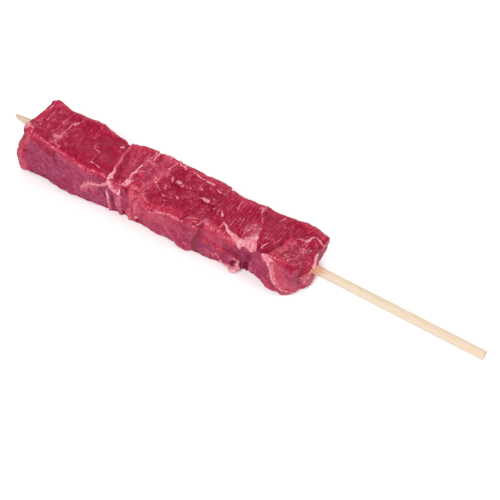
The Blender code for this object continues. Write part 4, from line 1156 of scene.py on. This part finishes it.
POINT_LENGTH = 12.0         # of the whittled part
POINT_RADIUS = 0.85         # of the blunt point itself
POINT_RISE = 0.45           # how far the point lies above the stick's axis
POINT_RINGS = (0.0, 0.15, 0.35)         # rings that round the point off
POINT_ROUNDING = (0.45, 0.2, 0.06)      # how much narrower each of them is
CUTS = 5                    # flat cuts of the knife around the point
CUT_DEPTH = 0.10            # as a share of the radius
END_SWELL = 0.14            # the stick is a little thicker towards its end
END_SWELL_START = 70        # where that begins and where it is complete, from the end
END_SWELL_FULL = 30
WORN_EDGE = 0.25            # how far the edge of the sawn end is rounded
STICK_SIDES = 40
RING_STEP = 0.5
STAIN_REACH = 11.0          # how far meat juice creeps along the stick


def make_skewer():
    """The stick: rings of points, whittled towards the point and sawn off at the end."""
    sides = STICK_SIDES
    noise = Noise(5)
    places = np.concatenate([POINT_RINGS, np.arange(0.7, SKEWER_LENGTH - WORN_EDGE, RING_STEP)])
    radii = POINT_RADIUS + (SKEWER_RADIUS - POINT_RADIUS) * np.clip(places / POINT_LENGTH, 0, 1) ** 0.6
    radii += END_SWELL * smooth_step(
        SKEWER_LENGTH - END_SWELL_START, SKEWER_LENGTH - END_SWELL_FULL, places)
    radii[:len(POINT_RINGS)] -= POINT_ROUNDING
    places = np.append(places, [SKEWER_LENGTH - WORN_EDGE, SKEWER_LENGTH])
    radii = np.append(radii, [radii[-1], radii[-1] - WORN_EDGE])
    angles = np.arange(sides) * 2 * math.pi / sides
    whittled = np.clip(1 - places / POINT_LENGTH, 0, 1)[:, None]
    cuts = 1 - CUT_DEPTH * whittled ** 0.5 * (0.5 - 0.5 * np.cos(CUTS * angles + 0.8))[None, :]
    spans = radii[:, None] * cuts
    points = np.stack([
        np.repeat(places[:, None], sides, axis=1), spans * np.cos(angles), spans * np.sin(angles)], axis=2)
    points[:, :, 2] += POINT_RISE * whittled
    points = points.reshape(-1, 3)
    grooves = noise.layers(points * np.array([0.03, 1.8, 1.8]), 2)
    outward = points * np.array([0, 1, 1])
    outward /= np.linalg.norm(outward, axis=1, keepdims=True)
    points -= outward * (0.03 + 0.03 * grooves[:, None])
    faces = []
    for ring in range(len(places) - 1):
        for side in range(sides):
            after = (side + 1) % sides
            first, second = ring * sides, (ring + 1) * sides
            faces.append((first + side, second + side, second + after, first + after))
    faces.append(tuple(range(sides)))
    last = (len(places) - 1) * sides
    faces.append(tuple(last + side for side in reversed(range(sides))))
    mesh = bpy.data.meshes.new("skewer_stick")
    mesh.from_pydata([tuple(point) for point in from_kebab(points)], [], faces)
    mesh.update()
    mesh.shade_smooth()
    mesh.set_sharp_from_angle(angle=math.radians(50))

    # the upper back is painted darker, as shade; meat juice stains it beside the meat and on the point
    upper_back = outward @ np.array([0.0, 0.73, 0.68])
    upper_shade = smooth_step(-0.2, 0.8, upper_back) * 0.75
    meat_end = to_kebab(np.array(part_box("lamb_6")[1]))[0]
    meat_start = to_kebab(np.array(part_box("lamb_1")[0]))[0]
    reach = STAIN_REACH + 3.0 * upper_back + 3.0 * grooves
    stain = smooth_step(1.0, 0.0, (points[:, 0] - meat_end) / reach)
    stain *= smooth_step(meat_end - 30, meat_end - 10, points[:, 0])
    on_point = smooth_step(0.55, 0.95, upper_back) * smooth_step(meat_start + 6, meat_start, points[:, 0])
    stain = np.maximum(stain, 0.75 * on_point)
    set_mask(mesh, "upper_shade", upper_shade)
    set_mask(mesh, "stain", stain)
    mesh.materials.append(wood_material())
    piece = bpy.data.objects.new("skewer_stick", mesh)
    bpy.context.scene.collection.objects.link(piece)
    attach(piece, "root")
    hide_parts("skewer")


# ---------------------------------------------------------------- the stage

CAMERA_AZIMUTH = 33.14      # degrees
CAMERA_ELEVATION = 52.0
CAMERA_DISTANCE = 1.0       # metres
CAMERA_FOCUS = (132.25, -3.29, -5.25)   # the place on the kebab that it looks at
CAMERA_LENS = 161.2         # millimetres, on a sensor of this width
CAMERA_SENSOR = 36.0
LIGHT_DISTANCE = 1.2        # metres, as are the next two
FLOOR_REACH = 4.0
FLOOR_GAP = 0.0002          # how far the floor lies under the table's height
SKY_STRENGTH = 0.5


def direction(azimuth, elevation):
    """From the kebab towards a camera or a light."""
    a, e = math.radians(azimuth), math.radians(elevation)
    return Vector((math.sin(a) * math.cos(e), -math.cos(a) * math.cos(e), math.sin(e)))


def make_camera():
    data = bpy.data.cameras.new("camera")
    data.lens = CAMERA_LENS
    data.sensor_width = CAMERA_SENSOR
    camera = bpy.data.objects.new("camera", data)
    bpy.context.scene.collection.objects.link(camera)
    back = direction(CAMERA_AZIMUTH, CAMERA_ELEVATION)
    camera.location = Vector(from_kebab(np.array(CAMERA_FOCUS))) + back * CAMERA_DISTANCE
    camera.rotation_mode = "QUATERNION"
    camera.rotation_quaternion = (-back).to_track_quat("-Z", "Y")
    bpy.context.scene.camera = camera


def make_light(name, azimuth, elevation, size, power):
    data = bpy.data.lights.new(name, "AREA")
    data.shape = "DISK"
    data.size = size
    data.energy = power
    light = bpy.data.objects.new(name, data)
    bpy.context.scene.collection.objects.link(light)
    back = direction(azimuth, elevation)
    light.location = back * LIGHT_DISTANCE
    light.rotation_mode = "QUATERNION"
    light.rotation_quaternion = (-back).to_track_quat("-Z", "Y")


def make_stage():
    mesh = bpy.data.meshes.new("floor")
    corners = [(FLOOR_REACH * x, FLOOR_REACH * y, 0) for x, y in ((-1, -1), (1, -1), (1, 1), (-1, 1))]
    mesh.from_pydata(corners, [], [(0, 1, 2, 3)])
    floor = bpy.data.objects.new("floor", mesh)
    bpy.context.scene.collection.objects.link(floor)
    floor.location.z = -FLOOR_GAP
    tree = Tree("floor_white")
    tree.shader.inputs["Base Color"].default_value = (0.93, 0.93, 0.93, 1.0)
    tree.shader.inputs["Roughness"].default_value = 0.9
    tree.shader.inputs["Specular IOR Level"].default_value = 0.1
    mesh.materials.append(tree.material)
    world = bpy.data.worlds.new("studio")
    world.use_nodes = True
    world.node_tree.nodes["Background"].inputs["Color"].default_value = (1, 1, 1, 1)
    world.node_tree.nodes["Background"].inputs["Strength"].default_value = SKY_STRENGTH
    bpy.context.scene.world = world
    make_light("key", azimuth=12, elevation=45, size=0.6, power=13.0)
    make_light("side", azimuth=95, elevation=35, size=0.6, power=5.0)
    make_light("back", azimuth=-165, elevation=45, size=0.8, power=8.0)
    bpy.context.scene.view_settings.view_transform = "Standard"


make_camera()
trees = {}
for node in LAMBS:
    trees[node] = surface_tree(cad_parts[node].data)
for node, look in LAMBS.items():
    dress_lamb(node, look, trees)
make_skewer()
make_stage()
